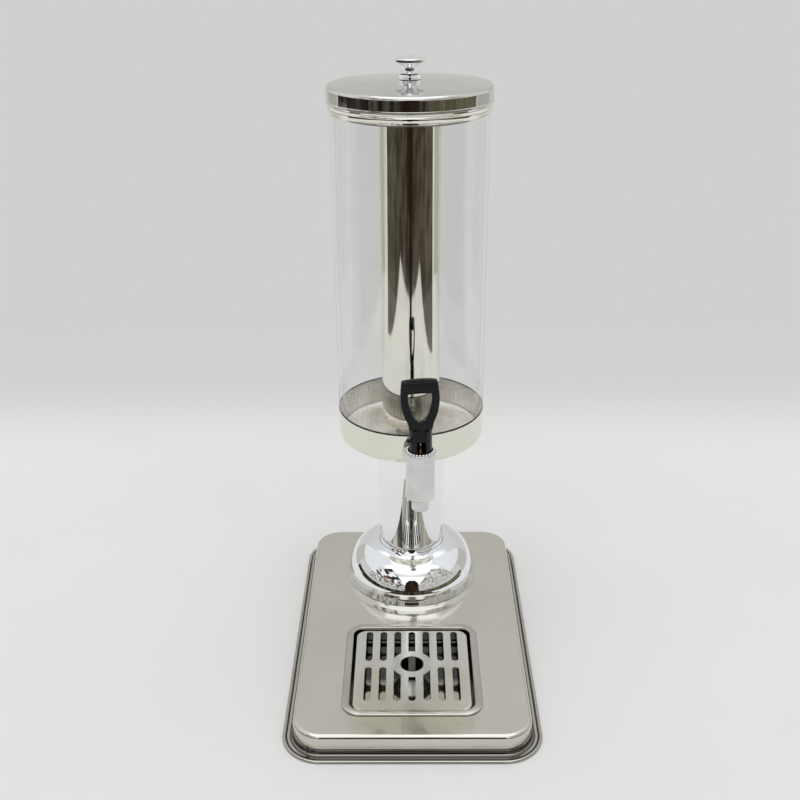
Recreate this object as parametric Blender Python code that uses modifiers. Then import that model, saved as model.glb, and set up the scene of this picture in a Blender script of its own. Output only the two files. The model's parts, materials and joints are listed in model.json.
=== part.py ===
"""Single-tank cold drink dispenser: a clear tank with an ice tube, on a chromed column that stands on a
stainless base tray with a lift-out drip pan, and a self-closing tap at the front.

Metres, +Z up. The origin is on the table, under the middle of the base. The tap is on the -Y side.
"""

import math

import bmesh
import bpy
from mathutils import Vector

MM = 0.001
GAP = 0.3 * MM  # kept between pieces that touch

# Base tray
BASE_WIDTH = 260 * MM
BASE_DEPTH = 397 * MM
BASE_CORNER = 40 * MM
BASE_FLANGE = 11 * MM
BASE_TOP = 24 * MM
BASE_LIFT = 0.8 * MM  # the rubber feet hold the flange this far off the table
SHEET = 1.0 * MM

# Drip pan and its grille
PAN_WIDTH = 143.2 * MM
PAN_FRONT = -158.2 * MM
PAN_BACK = -10.4 * MM
PAN_CORNER = 19 * MM
PAN_RIM = 8 * MM
PAN_RIM_RISE = 2.2 * MM
PAN_FLOOR = 5.5 * MM
GRILLE_WIDTH = 121.5 * MM
GRILLE_FRONT = -149.2 * MM
GRILLE_BACK = -19.6 * MM
GRILLE_CORNER = 11 * MM
GRILLE_TOP = 23.4 * MM
SLOT_PITCH = 15.35 * MM
SLOT_WIDTH = 7.4 * MM
SLOT_COLUMNS = 7
SLOT_FRONT = -134.9 * MM
SLOT_BACK = -22.6 * MM
SLOT_BAR = 10.4 * MM
HOLE_Y = -77.2 * MM
HOLE_RADIUS = 12.5 * MM
HOLE_LAND = 8.6 * MM

# Column and its domed foot
COLUMN_Y = 100 * MM
COLUMN_RADIUS = 37.9 * MM
COLUMN_WALL = 1.2 * MM
DOME_RADIUS = 74.3 * MM
DOME_FOOT_RADIUS = 76 * MM
DOME_RIM_Z = 38 * MM
DOME_TOP_Z = 71 * MM
ROD_RADIUS = 4 * MM

# Tank pan, clear tank and ice tube
TANK_RADIUS = 80.5 * MM
TANK_WALL = 4.5 * MM
TANK_PAN_BOTTOM = 211.4 * MM
TANK_PAN_RIM = 244.9 * MM
TANK_PAN_CORNER = 5.5 * MM
TANK_SPIGOT = 3.4 * MM
SEAL_THICKNESS = 1.1 * MM
TANK_TOP = 574.5 * MM
TRIM_RADIUS = 82.2 * MM
TRIM_BOTTOM = 568.2 * MM
TRIM_TOP = 578.4 * MM
ICE_TUBE_RADIUS = 31.8 * MM
ICE_TUBE_WALL = 1.0 * MM
ICE_TUBE_BOTTOM = 228 * MM
ICE_TUBE_TOP = 566 * MM
HUB_RADIUS = 15 * MM

# Lid and knob
LID_RADIUS = 83.7 * MM
LID_BOTTOM = 579.2 * MM
LID_SHOULDER = 594.6 * MM
LID_CROWN = 599 * MM
LID_EDGE = 3.6 * MM
KNOB_RADIUS = 14.8 * MM
KNOB_HEIGHT = 21.5 * MM

# Tap, turned a little off the base's centre line
TAP_TURN = math.radians(4.9)
TAP_REACH = 112 * MM
TAP_BARREL_Z = 228.5 * MM
TAP_BODY_RADIUS = 15.2 * MM
TAP_BODY_TOP = 245 * MM
TAP_BODY_BOTTOM = 190.2 * MM
TAP_STEP_Z = 237.2 * MM
SPOUT_RADIUS = 9.2 * MM
SPOUT_BOTTOM = 176 * MM
SHANK_RADIUS = 8 * MM
BONNET_RADIUS = 12 * MM
BONNET_TOP = 272 * MM
LEVER_TOP = 326.8 * MM
LEVER_THICKNESS = 6.4 * MM
LEVER_SHANK_WIDTH = 8.4 * MM
PIN_Z = 260 * MM
PIN_FORWARD = 7 * MM  # the pin is this far in front of the valve stem
PIN_RADIUS = 1.5 * MM
FORK_RADIUS = 1.5 * MM
STEM_RADIUS = 2 * MM

BIG = 40  # steps round a large turned piece
SMALL = 20

for old in list(bpy.data.objects):
    bpy.data.objects.remove(old, do_unlink=True)

parts = bpy.data.collections.new("drink_dispenser")
cutters = bpy.data.collections.new("cutters")
bpy.context.scene.collection.children.link(parts)
bpy.context.scene.collection.children.link(cutters)
cutters.hide_render = True


def material(name, colour, roughness, metallic=0.0, transmission=0.0):
    made = bpy.data.materials.new(name)
    made.use_nodes = True
    shader = made.node_tree.nodes["Principled BSDF"]
    shader.inputs["Base Color"].default_value = (*colour, 1)
    shader.inputs["Roughness"].default_value = roughness
    shader.inputs["Metallic"].default_value = metallic
    shader.inputs["Transmission Weight"].default_value = transmission
    made.diffuse_color = (*colour, 1 - 0.7 * transmission)
    return made


POLISHED = material("polished_steel", (0.78, 0.77, 0.73), 0.08, 1)
SATIN = material("satin_steel", (0.62, 0.60, 0.57), 0.32, 1)
CHROME = material("chrome", (0.86, 0.87, 0.88), 0.04, 1)
CLEAR = material("clear_plastic", (0.97, 0.98, 0.98), 0.02, 0, 0.95)
BLACK = material("black_plastic", (0.015, 0.015, 0.017), 0.28)
RUBBER = material("black_rubber", (0.02, 0.02, 0.02), 0.7)
SILICONE = material("white_silicone", (0.85, 0.85, 0.82), 0.5)
STEEL = material("zinc_steel", (0.6, 0.6, 0.58), 0.35, 1)
BRASS = material("brass", (0.72, 0.55, 0.28), 0.25, 1)


def place(name, mesh, look, at=(0, 0, 0), parent=None, turn=(0, 0, 0), helper=False):
    """Puts a mesh in the scene as a part, or as a cutter that isn't rendered."""
    obj = bpy.data.objects.new(name, mesh)
    (cutters if helper else parts).objects.link(obj)
    obj.location = at
    obj.rotation_euler = turn
    obj.parent = parent
    if helper:
        obj.hide_render = True
        obj.display_type = "WIRE"
    else:
        mesh.materials.append(look)
    return obj


def smooth(obj, angle=35):
    obj.data.shade_smooth()
    obj.data.set_sharp_from_angle(angle=math.radians(angle))


def rounded(points, steps=1, closed=True):
    """Outline points, each (x, z) or (x, z, fillet radius), with the fillets turned into arcs."""
    made = []
    for index, point in enumerate(points):
        corner = Vector(point[:2])
        radius = point[2] if len(point) == 3 else 0
        if not radius or (not closed and index in (0, len(points) - 1)):
            made.append(corner)
            continue
        before = (Vector(points[index - 1][:2]) - corner).normalized()
        after = (Vector(points[(index + 1) % len(points)][:2]) - corner).normalized()
        half = before.angle(after) / 2
        middle = corner + (before + after).normalized() * radius / math.sin(half)
        start = corner + before * radius / math.tan(half) - middle
        end = corner + after * radius / math.tan(half) - middle
        sweep = start.angle_signed(end)
        for step in range(steps + 1):
            turned_by = -sweep * step / steps
            cosine = math.cos(turned_by)
            sine = math.sin(turned_by)
            spoke = Vector((start.x * cosine - start.y * sine, start.x * sine + start.y * cosine))
            made.append(middle + spoke)
    return made


def turned(name, outline, look, at=(0, 0, 0), parent=None, turn=(0, 0, 0), steps=BIG, helper=False,
           closed=True):
    """Turns an outline about Z. It runs down its outer side; an open one starts and ends on the axis."""
    mesh = bpy.data.meshes.new(name)
    count = len(outline)
    edges = [(i, (i + 1) % count) for i in range(count if closed else count - 1)]
    mesh.from_pydata([(p[0], 0, p[1]) for p in outline], edges, [])
    obj = place(name, mesh, look, at, parent, turn, helper)
    screw = obj.modifiers.new("turn", "SCREW")
    screw.steps = screw.render_steps = steps
    screw.use_merge_vertices = True
    screw.merge_threshold = 0.00001
    screw.use_smooth_shade = True
    return obj


def rod(name, radius, low, high, look, edge=0.0, **options):
    """A solid of revolution with one radius, its two edges rounded by edge."""
    outline = rounded([(0, high), (radius, high, edge), (radius, low, edge), (0, low)], 1, closed=False)
    return turned(name, outline, look, closed=False, **options)


def ring(name, inner, outer, low, high, look, edge=0.0, **options):
    outline = rounded([(inner, high, edge), (outer, high, edge), (outer, low, edge), (inner, low, edge)], 1)
    return turned(name, outline, look, **options)


def boolean(target, other, operation):
    modifier = target.modifiers.new(operation.lower(), "BOOLEAN")
    modifier.operation = operation
    modifier.object = other
    modifier.solver = "EXACT"
    return target


def cut(target, other):
    return boolean(target, other, "DIFFERENCE")


def fuse(target, other):
    return boolean(target, other, "UNION")


def rounded_rectangle(half_x, front, back, radius, z, steps=4):
    """Points round a rounded rectangle, anticlockwise seen from above."""
    corners = [
        (half_x - radius, back - radius, 0),
        (-half_x + radius, back - radius, 90),
        (-half_x + radius, front + radius, 180),
        (half_x - radius, front + radius, 270),
    ]
    points = []
    for x, y, start in corners:
        for step in range(steps + 1):
            angle = math.radians(start + 90 * step / steps)
            points.append((x + radius * math.cos(angle), y + radius * math.sin(angle), z))
    return points


def lofted(name, sections, look, thickness, closed_middle=True, **options):
    """A sheet-metal shell through sections from the middle outwards. Its upper side is the given one."""
    shape = bmesh.new()
    loops = [[shape.verts.new(point) for point in section] for section in sections]
    for inner, outer in zip(loops, loops[1:]):
        count = len(inner)
        for i in range(count):
            shape.faces.new((inner[i], outer[i], outer[(i + 1) % count], inner[(i + 1) % count]))
    if closed_middle:
        shape.faces.new(loops[0])
    mesh = bpy.data.meshes.new(name)
    shape.to_mesh(mesh)
    shape.free()
    obj = place(name, mesh, look, **options)
    smooth(obj)
    solid = obj.modifiers.new("sheet", "SOLIDIFY")
    solid.thickness = thickness
    solid.offset = -1
    solid.use_even_offset = True
    return obj


def prism(name, corners, low, high, look=None, **options):
    """A straight block with a flat outline in X and Y."""
    shape = bmesh.new()
    base = [shape.verts.new((x, y, low)) for x, y in corners]
    face = shape.faces.new(base)
    grown = bmesh.ops.extrude_face_region(shape, geom=[face])
    top = [item for item in grown["geom"] if isinstance(item, bmesh.types.BMVert)]
    bmesh.ops.translate(shape, verts=top, vec=(0, 0, high - low))
    bmesh.ops.recalc_face_normals(shape, faces=shape.faces)
    mesh = bpy.data.meshes.new(name)
    shape.to_mesh(mesh)
    shape.free()
    return place(name, mesh, look, **options)


def hexagon(across_flats):
    radius = across_flats / math.sqrt(3)
    angles = [math.radians(60 * i) for i in range(6)]
    return [(radius * math.cos(angle), radius * math.sin(angle)) for angle in angles]


def box(name, low, high, look=None, **options):
    corners = [(low[0], low[1]), (high[0], low[1]), (high[0], high[1]), (low[0], high[1])]
    return prism(name, corners, low[2], high[2], look, **options)


def arc(x, z, radius, start, end, steps):
    """Points on an arc, by angles in degrees."""
    angles = [math.radians(start + (end - start) * step / steps) for step in range(steps + 1)]
    return [(x + radius * math.cos(a), z + radius * math.sin(a)) for a in angles]


def make_base():
    half_x = BASE_WIDTH / 2
    half_y = BASE_DEPTH / 2
    plate_x = half_x - BASE_FLANGE
    plate_y = half_y - BASE_FLANGE
    plate_corner = BASE_CORNER - BASE_FLANGE
    edge = 4.5 * MM
    foot = BASE_LIFT + SHEET

    def section(inset, z):
        return rounded_rectangle(plate_x - inset, inset - plate_y, plate_y - inset, plate_corner - inset, z)

    # The plate's opening for the drip pan is a little wider than the pan's well.
    hole_x = PAN_WIDTH / 2 - PAN_RIM + 1.5 * MM
    hole_inset = PAN_RIM - 1.5 * MM
    hole_front = PAN_FRONT + hole_inset
    hole_back = PAN_BACK - hole_inset
    sections = [rounded_rectangle(hole_x, hole_front, hole_back, PAN_CORNER - hole_inset, BASE_TOP)]
    for angle in (90, 60, 30, 0):
        turn = math.radians(angle)
        sections.append(section(edge - edge * math.cos(turn), BASE_TOP - edge + edge * math.sin(turn)))
    cove = 4 * MM
    for angle in (0, 30, 60, 90):
        turn = math.radians(angle)
        sections.append(section(-cove + cove * math.cos(turn), foot + cove - cove * math.sin(turn)))
    sections.append(section(-BASE_FLANGE + 1 * MM, foot))
    sections.append(section(-BASE_FLANGE, foot - 0.4 * MM))
    tray = lofted("base_tray", sections, SATIN, SHEET, closed_middle=False)
    hole = rod("rod_hole", ROD_RADIUS + 0.5 * MM, BASE_TOP - 5 * MM, BASE_TOP + 5 * MM, None,
               at=(0, COLUMN_Y, 0), steps=SMALL, helper=True)
    cut(tray, hole)
    for side, x in (("left", -1), ("right", 1)):
        for end, y in (("front", -1), ("back", 1)):
            at = (x * (plate_x - 20 * MM), y * (plate_y - 20 * MM), 0)
            rod(f"rubber_foot_{end}_{side}", 9 * MM, 0, BASE_TOP - SHEET - GAP, RUBBER, edge=1 * MM, at=at,
                steps=SMALL)


def make_drip_pan():
    half_x = PAN_WIDTH / 2

    def section(inset, z):
        return rounded_rectangle(half_x - inset, PAN_FRONT + inset, PAN_BACK - inset, PAN_CORNER - inset, z)

    low = BASE_TOP + GAP + SHEET
    high = BASE_TOP + PAN_RIM_RISE
    floor = PAN_FLOOR + SHEET
    sections = [
        section(PAN_RIM + 3.6 * MM, floor),
        section(PAN_RIM + 1.5 * MM, floor + 0.9 * MM),
        section(PAN_RIM + 0.6 * MM, floor + 3 * MM),
        section(PAN_RIM, high - 1.6 * MM),
        section(7.4 * MM, high - 0.4 * MM),
        section(6 * MM, high),
        section(4 * MM, high - 0.3 * MM),
        section(0.9 * MM, low + 0.5 * MM),
        section(0, low - 0.2 * MM),
    ]
    lofted("drip_pan", sections, POLISHED, SHEET)


def slot_cutter():
    """The two rows of slots, left whole where the land round the middle hole passes."""
    shape = bmesh.new()
    rows = ((SLOT_FRONT, HOLE_Y - SLOT_BAR / 2), (HOLE_Y + SLOT_BAR / 2, SLOT_BACK))
    radius = SLOT_WIDTH / 2
    for column in range(SLOT_COLUMNS):
        x = (column - (SLOT_COLUMNS - 1) / 2) * SLOT_PITCH
        for front, back in rows:
            outline = arc(x, back - radius, radius, 0, 180, 5) + arc(x, front + radius, radius, 180, 360, 5)
            base = [shape.verts.new((a, b, GRILLE_TOP - 4 * MM)) for a, b in outline]
            grown = bmesh.ops.extrude_face_region(shape, geom=[shape.faces.new(base)])
            top = [item for item in grown["geom"] if isinstance(item, bmesh.types.BMVert)]
            bmesh.ops.translate(shape, verts=top, vec=(0, 0, 8 * MM))
    bmesh.ops.recalc_face_normals(shape, faces=shape.faces)
    mesh = bpy.data.meshes.new("slots")
    shape.to_mesh(mesh)
    shape.free()
    slots = place("slots", mesh, None, helper=True)
    land = rod("hole_land", HOLE_RADIUS + HOLE_LAND, GRILLE_TOP - 6 * MM, GRILLE_TOP + 6 * MM, None,
               at=(0, HOLE_Y, 0), steps=SMALL, helper=True)
    return cut(slots, land)


def make_grille():
    half_x = GRILLE_WIDTH / 2
    skirt = PAN_FLOOR + SHEET + 5 * MM

    def section(inset, z):
        front = GRILLE_FRONT + inset
        back = GRILLE_BACK - inset
        return rounded_rectangle(half_x - inset, front, back, GRILLE_CORNER - inset, z)

    sections = [
        section(0.8 * MM, GRILLE_TOP),
        section(0.3 * MM, GRILLE_TOP - 0.3 * MM),
        section(0, GRILLE_TOP - 0.8 * MM),
        section(0, skirt),
    ]
    grille = lofted("drip_grille", sections, SATIN, SHEET)
    cut(grille, slot_cutter())
    hole = rod("middle_hole", HOLE_RADIUS, GRILLE_TOP - 6 * MM, GRILLE_TOP + 6 * MM, None, at=(0, HOLE_Y, 0),
               steps=SMALL, helper=True)
    cut(grille, hole)
    legs_z = PAN_FLOOR + SHEET + 2.5 * GAP
    for x in (-1, 1):
        for y in (GRILLE_FRONT + 20 * MM, GRILLE_BACK - 20 * MM):
            inner = x * (half_x - 0.9 * MM)
            outer = x * half_x
            leg = box(f"grille_leg_{x}_{y:.3f}", (min(inner, outer), y - 5 * MM, legs_z),
                      (max(inner, outer), y + 5 * MM, skirt + 2 * MM), helper=True)
            fuse(grille, leg)


def make_column():
    at = (0, COLUMN_Y, 0)
    foot_z = BASE_TOP + GAP
    wall = COLUMN_WALL
    neck = COLUMN_RADIUS + GAP
    reach = DOME_RADIUS - neck
    rise = DOME_TOP_Z - DOME_RIM_Z
    steps = 6
    quarter = [math.radians(90 - 90 * step / steps) for step in range(steps + 1)]
    outer = [(neck + reach * math.cos(a), DOME_RIM_Z + rise * math.sin(a)) for a in quarter]
    quarter.reverse()
    inner = [(neck + (reach - wall) * math.cos(a), DOME_RIM_Z + (rise - wall) * math.sin(a)) for a in quarter]
    outline = outer + [(DOME_FOOT_RADIUS - 0.6 * MM, foot_z + 4 * MM), (DOME_FOOT_RADIUS, foot_z)]
    outline += [(DOME_FOOT_RADIUS - wall, foot_z), (DOME_FOOT_RADIUS - 0.6 * MM - wall, foot_z + 4 * MM)]
    outline += inner
    turned("column_foot", outline, CHROME, at=at)
    tube_bore = COLUMN_RADIUS - COLUMN_WALL
    ring("column_tube", tube_bore, COLUMN_RADIUS, foot_z, TANK_PAN_BOTTOM - GAP, POLISHED, at=at)
    bore = tube_bore - GAP
    ring("column_cap", ROD_RADIUS + GAP, bore, TANK_PAN_BOTTOM - 8 * MM, TANK_PAN_BOTTOM - GAP, STEEL, at=at)
    ring("column_locator", ROD_RADIUS + GAP, bore, foot_z, foot_z + 5 * MM, STEEL, at=at)
    under = BASE_TOP - SHEET - GAP
    ring("rod_washer", ROD_RADIUS + GAP, 20 * MM, under - 2 * MM, under, STEEL, at=at, steps=SMALL)
    nut_top = under - 2 * MM - GAP
    nut = prism("rod_nut", hexagon(13 * MM), nut_top - 6.5 * MM, nut_top, STEEL, at=at)
    cut(nut, rod("nut_hole", ROD_RADIUS + GAP, 0, BASE_TOP, None, at=at, steps=SMALL, helper=True))
    rod("tie_rod", ROD_RADIUS, nut_top - 10 * MM, ICE_TUBE_BOTTOM - 4 * MM, STEEL, edge=0.6 * MM, at=at,
        steps=SMALL)


def make_tank(tank_frame):
    inner = TANK_RADIUS - SHEET
    bottom = TANK_PAN_BOTTOM
    floor = bottom + 1.2 * MM
    corner = TANK_PAN_CORNER
    hole = ROD_RADIUS + GAP
    outline = rounded([
        (inner, TANK_PAN_RIM), (TANK_RADIUS, TANK_PAN_RIM), (TANK_RADIUS, bottom, corner), (hole, bottom),
        (hole, floor), (inner, floor, corner - SHEET),
    ], 3)
    pan = turned("tank_pan", outline, POLISHED, parent=tank_frame)
    cut(pan, rod("shank_hole", SHANK_RADIUS + GAP, 60 * MM, 95 * MM, None, at=(0, 0, TAP_BARREL_Z),
                 parent=tank_frame, turn=(math.radians(90), 0, 0), steps=SMALL, helper=True))

    seal_low = TANK_PAN_RIM + GAP
    seal_high = seal_low + SEAL_THICKNESS
    spigot = inner - 0.5 * MM
    ring("tank_seal", spigot + GAP, TANK_RADIUS + 0.1 * MM, seal_low, seal_high, RUBBER, parent=tank_frame)
    bore = TANK_RADIUS - TANK_WALL
    shoulder = seal_high + GAP
    low = TANK_PAN_RIM - TANK_SPIGOT
    turned("tank_cylinder", [
        (bore, TANK_TOP), (TANK_RADIUS, TANK_TOP), (TANK_RADIUS, shoulder), (spigot, shoulder), (spigot, low),
        (bore, low),
    ], CLEAR, parent=tank_frame)

    lip = 2 * MM
    outside = TANK_RADIUS + GAP
    inside = bore - GAP
    turned("tank_trim_ring", rounded([
        (inside - 0.7 * MM, TRIM_TOP - 0.6 * MM), (inside, TRIM_TOP, 0.4 * MM),
        (TRIM_RADIUS - 0.4 * MM, TRIM_TOP, 0.6 * MM), (TRIM_RADIUS - 0.4 * MM, TRIM_TOP - 2.6 * MM),
        (TRIM_RADIUS, TRIM_TOP - 5 * MM, 1 * MM), (TRIM_RADIUS, TRIM_BOTTOM + 1.5 * MM, 1 * MM),
        (TRIM_RADIUS - 0.8 * MM, TRIM_BOTTOM), (outside, TRIM_BOTTOM), (outside, TANK_TOP + GAP),
        (inside, TANK_TOP + GAP), (inside, TANK_TOP - lip), (inside - 0.7 * MM, TANK_TOP - lip),
    ]), POLISHED, parent=tank_frame)

    tube_inner = ICE_TUBE_RADIUS - ICE_TUBE_WALL
    ring("ice_tube", tube_inner, ICE_TUBE_RADIUS, ICE_TUBE_BOTTOM, ICE_TUBE_TOP, POLISHED, parent=tank_frame)
    rod("ice_tube_base", tube_inner - GAP, ICE_TUBE_BOTTOM, ICE_TUBE_BOTTOM + 3 * MM, POLISHED, edge=0.5 * MM,
        parent=tank_frame)
    gasket_top = floor + GAP + 1.5 * MM
    ring("hub_gasket", hole, HUB_RADIUS + 2 * MM, floor + GAP, gasket_top, SILICONE, parent=tank_frame,
         steps=SMALL)
    hub = rod("ice_tube_hub", HUB_RADIUS, gasket_top + GAP, ICE_TUBE_BOTTOM - GAP, STEEL, edge=0.8 * MM,
              parent=tank_frame, steps=SMALL)
    cut(hub, rod("hub_bore", hole, 200 * MM, ICE_TUBE_BOTTOM - 3.5 * MM, None, parent=tank_frame,
                 steps=SMALL, helper=True))


def make_lid(tank_frame):
    """The lid's crown is an arc; the side drops from its rounded edge."""
    steps = 4
    side = LID_RADIUS - LID_EDGE
    skin = SHEET

    def crown(radius, level):
        return level + (LID_CROWN - LID_SHOULDER) * (1 - (radius / side) ** 2)

    screw_hole = 2.7 * MM
    span = [screw_hole + (side - screw_hole) * step / steps for step in range(steps)]
    outline = [(r, crown(r, LID_SHOULDER)) for r in span]
    outline += arc(side, LID_SHOULDER - LID_EDGE, LID_EDGE, 90, 0, 3)
    outline += [(LID_RADIUS, LID_BOTTOM + 1.6 * MM), (LID_RADIUS + 0.3 * MM, LID_BOTTOM + 1 * MM),
                (LID_RADIUS + 0.3 * MM, LID_BOTTOM), (LID_RADIUS - skin, LID_BOTTOM)]
    outline += arc(side, LID_SHOULDER - LID_EDGE, LID_EDGE - skin, 0, 90, 3)
    outline += [(r, crown(r, LID_SHOULDER - skin)) for r in reversed(span)]
    turned("lid_shell", outline, POLISHED, parent=tank_frame)

    collar = TANK_RADIUS - TANK_WALL - 2.4 * MM
    seat = TRIM_TOP + GAP
    turned("lid_inner_ring", rounded([
        (collar - 1 * MM, seat + 1.2 * MM), (LID_RADIUS - skin - GAP, seat + 1.2 * MM),
        (LID_RADIUS - skin - GAP, seat), (collar, seat), (collar, TANK_TOP - 9 * MM),
        (collar - 1 * MM, TANK_TOP - 9 * MM),
    ]), STEEL, parent=tank_frame)

    base_z = LID_CROWN + GAP
    top_z = LID_CROWN + KNOB_HEIGHT
    knob = turned("lid_knob", rounded([
        (0, top_z), (KNOB_RADIUS * 0.62, top_z - 0.9 * MM, 12 * MM),
        (KNOB_RADIUS, top_z - 2.6 * MM, 1.4 * MM),
        (KNOB_RADIUS, top_z - 5.6 * MM, 1.2 * MM), (KNOB_RADIUS * 0.5, top_z - 8.8 * MM, 2 * MM),
        (5.1 * MM, top_z - 10.5 * MM, 1 * MM), (5.1 * MM, base_z + 7.5 * MM, 1 * MM),
        (9.8 * MM, base_z + 6.2 * MM, 1 * MM), (9.8 * MM, base_z + 2.6 * MM, 0.6 * MM),
        (11.2 * MM, base_z + 2.2 * MM, 0.5 * MM), (11.2 * MM, base_z), (0, base_z),
    ], closed=False), CHROME, parent=tank_frame, steps=24, closed=False)
    thread = 2.4 * MM
    cut(knob, rod("knob_bore", thread + GAP, base_z - 5 * MM, base_z + 8 * MM, None, parent=tank_frame,
                  steps=SMALL, helper=True))
    under = crown(0, LID_SHOULDER - skin) - GAP
    ring("knob_washer", thread + GAP, 7 * MM, under - 1 * MM, under, STEEL, parent=tank_frame, steps=SMALL)
    head = under - 1 * MM - GAP
    turned("knob_screw", rounded([
        (0, base_z + 7 * MM), (thread, base_z + 7 * MM, 0.4 * MM), (thread, head), (4.5 * MM, head),
        (4.5 * MM, head - 2.4 * MM, 1.2 * MM), (0, head - 2.8 * MM),
    ], closed=False), STEEL, parent=tank_frame, steps=SMALL, closed=False)


def make_tap_body(tank_frame):
    at = (0, -TAP_REACH, 0)
    lengthwise = (math.radians(90), 0, 0)  # turns +Z to the front
    collar = TAP_BODY_RADIUS + 0.9 * MM
    bore = BONNET_RADIUS + GAP
    body = turned("tap_body", rounded([
        (0, TAP_BODY_TOP), (collar, TAP_BODY_TOP, 1.2 * MM), (collar, TAP_STEP_Z, 0.5 * MM),
        (TAP_BODY_RADIUS, TAP_STEP_Z - 0.6 * MM), (TAP_BODY_RADIUS, TAP_BODY_BOTTOM, 1.6 * MM),
        (0, TAP_BODY_BOTTOM),
    ], 2, closed=False), CHROME, at=at, parent=tank_frame, steps=32, closed=False)

    # The horizontal barrel, its flange and the threaded shank that goes through the pan's wall.
    flange_face = TANK_RADIUS + 3.2 * MM
    barrel_end = 66 * MM
    barrel = turned("barrel", rounded([
        (0, TAP_REACH), (11 * MM, TAP_REACH), (11 * MM, flange_face + 4.5 * MM, 2 * MM),
        (16.8 * MM, flange_face + 3 * MM, 0.8 * MM), (16.8 * MM, flange_face, 0.6 * MM),
        (SHANK_RADIUS, flange_face), (SHANK_RADIUS, barrel_end, 0.6 * MM), (0, barrel_end),
    ], closed=False), None, at=(0, 0, TAP_BARREL_Z), parent=tank_frame, turn=lengthwise, steps=24,
        closed=False, helper=True)
    fuse(body, barrel)
    seat_z = TAP_BODY_BOTTOM + 8 * MM
    chamber = rod("chamber", bore, seat_z, TAP_BODY_TOP + 10 * MM, None, at=at, parent=tank_frame,
                  steps=SMALL, helper=True)
    cut(body, chamber)
    outlet = rod("outlet", 6 * MM, 180 * MM, seat_z + 5 * MM, None, at=at, parent=tank_frame, steps=SMALL,
                 helper=True)
    cut(body, outlet)
    inlet = rod("inlet", 5 * MM, 50 * MM, TAP_REACH - 5 * MM, None, at=(0, 0, TAP_BARREL_Z),
                parent=tank_frame, turn=lengthwise, steps=SMALL, helper=True)
    cut(body, inlet)
    spout_top = TAP_BODY_BOTTOM - GAP
    turned("tap_spout", rounded([
        (5.6 * MM, TAP_BODY_BOTTOM + 6 * MM), (5.6 * MM, spout_top), (SPOUT_RADIUS, spout_top),
        (SPOUT_RADIUS, SPOUT_BOTTOM, 0.8 * MM), (SPOUT_RADIUS - 1.8 * MM, SPOUT_BOTTOM, 0.5 * MM),
        (SPOUT_RADIUS - 2.2 * MM, spout_top - 3 * MM), (4.4 * MM, spout_top - 2 * MM),
        (4.4 * MM, TAP_BODY_BOTTOM + 6 * MM),
    ]), CHROME, at=at, parent=tank_frame, steps=SMALL)

    washer = ring("tap_outer_washer", SHANK_RADIUS + GAP, 15.5 * MM, TANK_RADIUS - 3 * MM, flange_face - GAP,
                  RUBBER, at=(0, 0, TAP_BARREL_Z), parent=tank_frame, turn=lengthwise, steps=SMALL)
    cut(washer, rod("pan_outside", TANK_RADIUS + GAP, 150 * MM, 300 * MM, None, parent=tank_frame,
                    steps=120, helper=True))
    washer_low = 75.6 * MM
    ring("tap_inner_washer", SHANK_RADIUS + GAP, 11 * MM, washer_low, washer_low + 2.2 * MM, SILICONE,
         at=(0, 0, TAP_BARREL_Z), parent=tank_frame, turn=lengthwise, steps=SMALL)
    nut = prism("tap_lock_nut", hexagon(22 * MM), washer_low - GAP - 6 * MM, washer_low - GAP, CHROME,
                at=(0, 0, TAP_BARREL_Z), parent=tank_frame, turn=lengthwise)
    cut(nut, rod("lock_nut_hole", SHANK_RADIUS + GAP, 50 * MM, 90 * MM, None, at=(0, 0, TAP_BARREL_Z),
                 parent=tank_frame, turn=lengthwise, steps=SMALL, helper=True))


def make_tap_bonnet(tank_frame):
    at = (0, -TAP_REACH, 0)
    low = TAP_BODY_TOP - 9 * MM
    inner = BONNET_RADIUS - 2.4 * MM
    bonnet = turned("tap_bonnet", rounded([
        (0, BONNET_TOP), (BONNET_RADIUS, BONNET_TOP, 1 * MM), (BONNET_RADIUS, low), (inner, low),
        (inner, BONNET_TOP - 3 * MM), (0, BONNET_TOP - 3 * MM),
    ], closed=False), BLACK, at=at, parent=tank_frame, steps=28, closed=False)
    half = LEVER_SHANK_WIDTH / 2 + GAP
    # The lever swings forward in this slot, which is open at the top and down the front.
    slot = box("lever_slot", (-half, -BONNET_RADIUS - 2 * MM, TAP_BODY_TOP + 1.5 * MM),
               (half, 3.6 * MM, BONNET_TOP + 5 * MM), at=at, parent=tank_frame, helper=True)
    cut(bonnet, slot)
    pin_at = (0, -TAP_REACH - PIN_FORWARD, PIN_Z)
    crosswise = (0, math.radians(90), 0)
    cut(bonnet, rod("pin_bore", PIN_RADIUS + GAP, -15 * MM, 15 * MM, None, at=pin_at, parent=tank_frame,
                    turn=crosswise, steps=16, helper=True))
    rod("lever_pin", PIN_RADIUS, -9.4 * MM, 9.4 * MM, STEEL, edge=0.3 * MM, at=pin_at, parent=tank_frame,
        turn=crosswise, steps=16)


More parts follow.
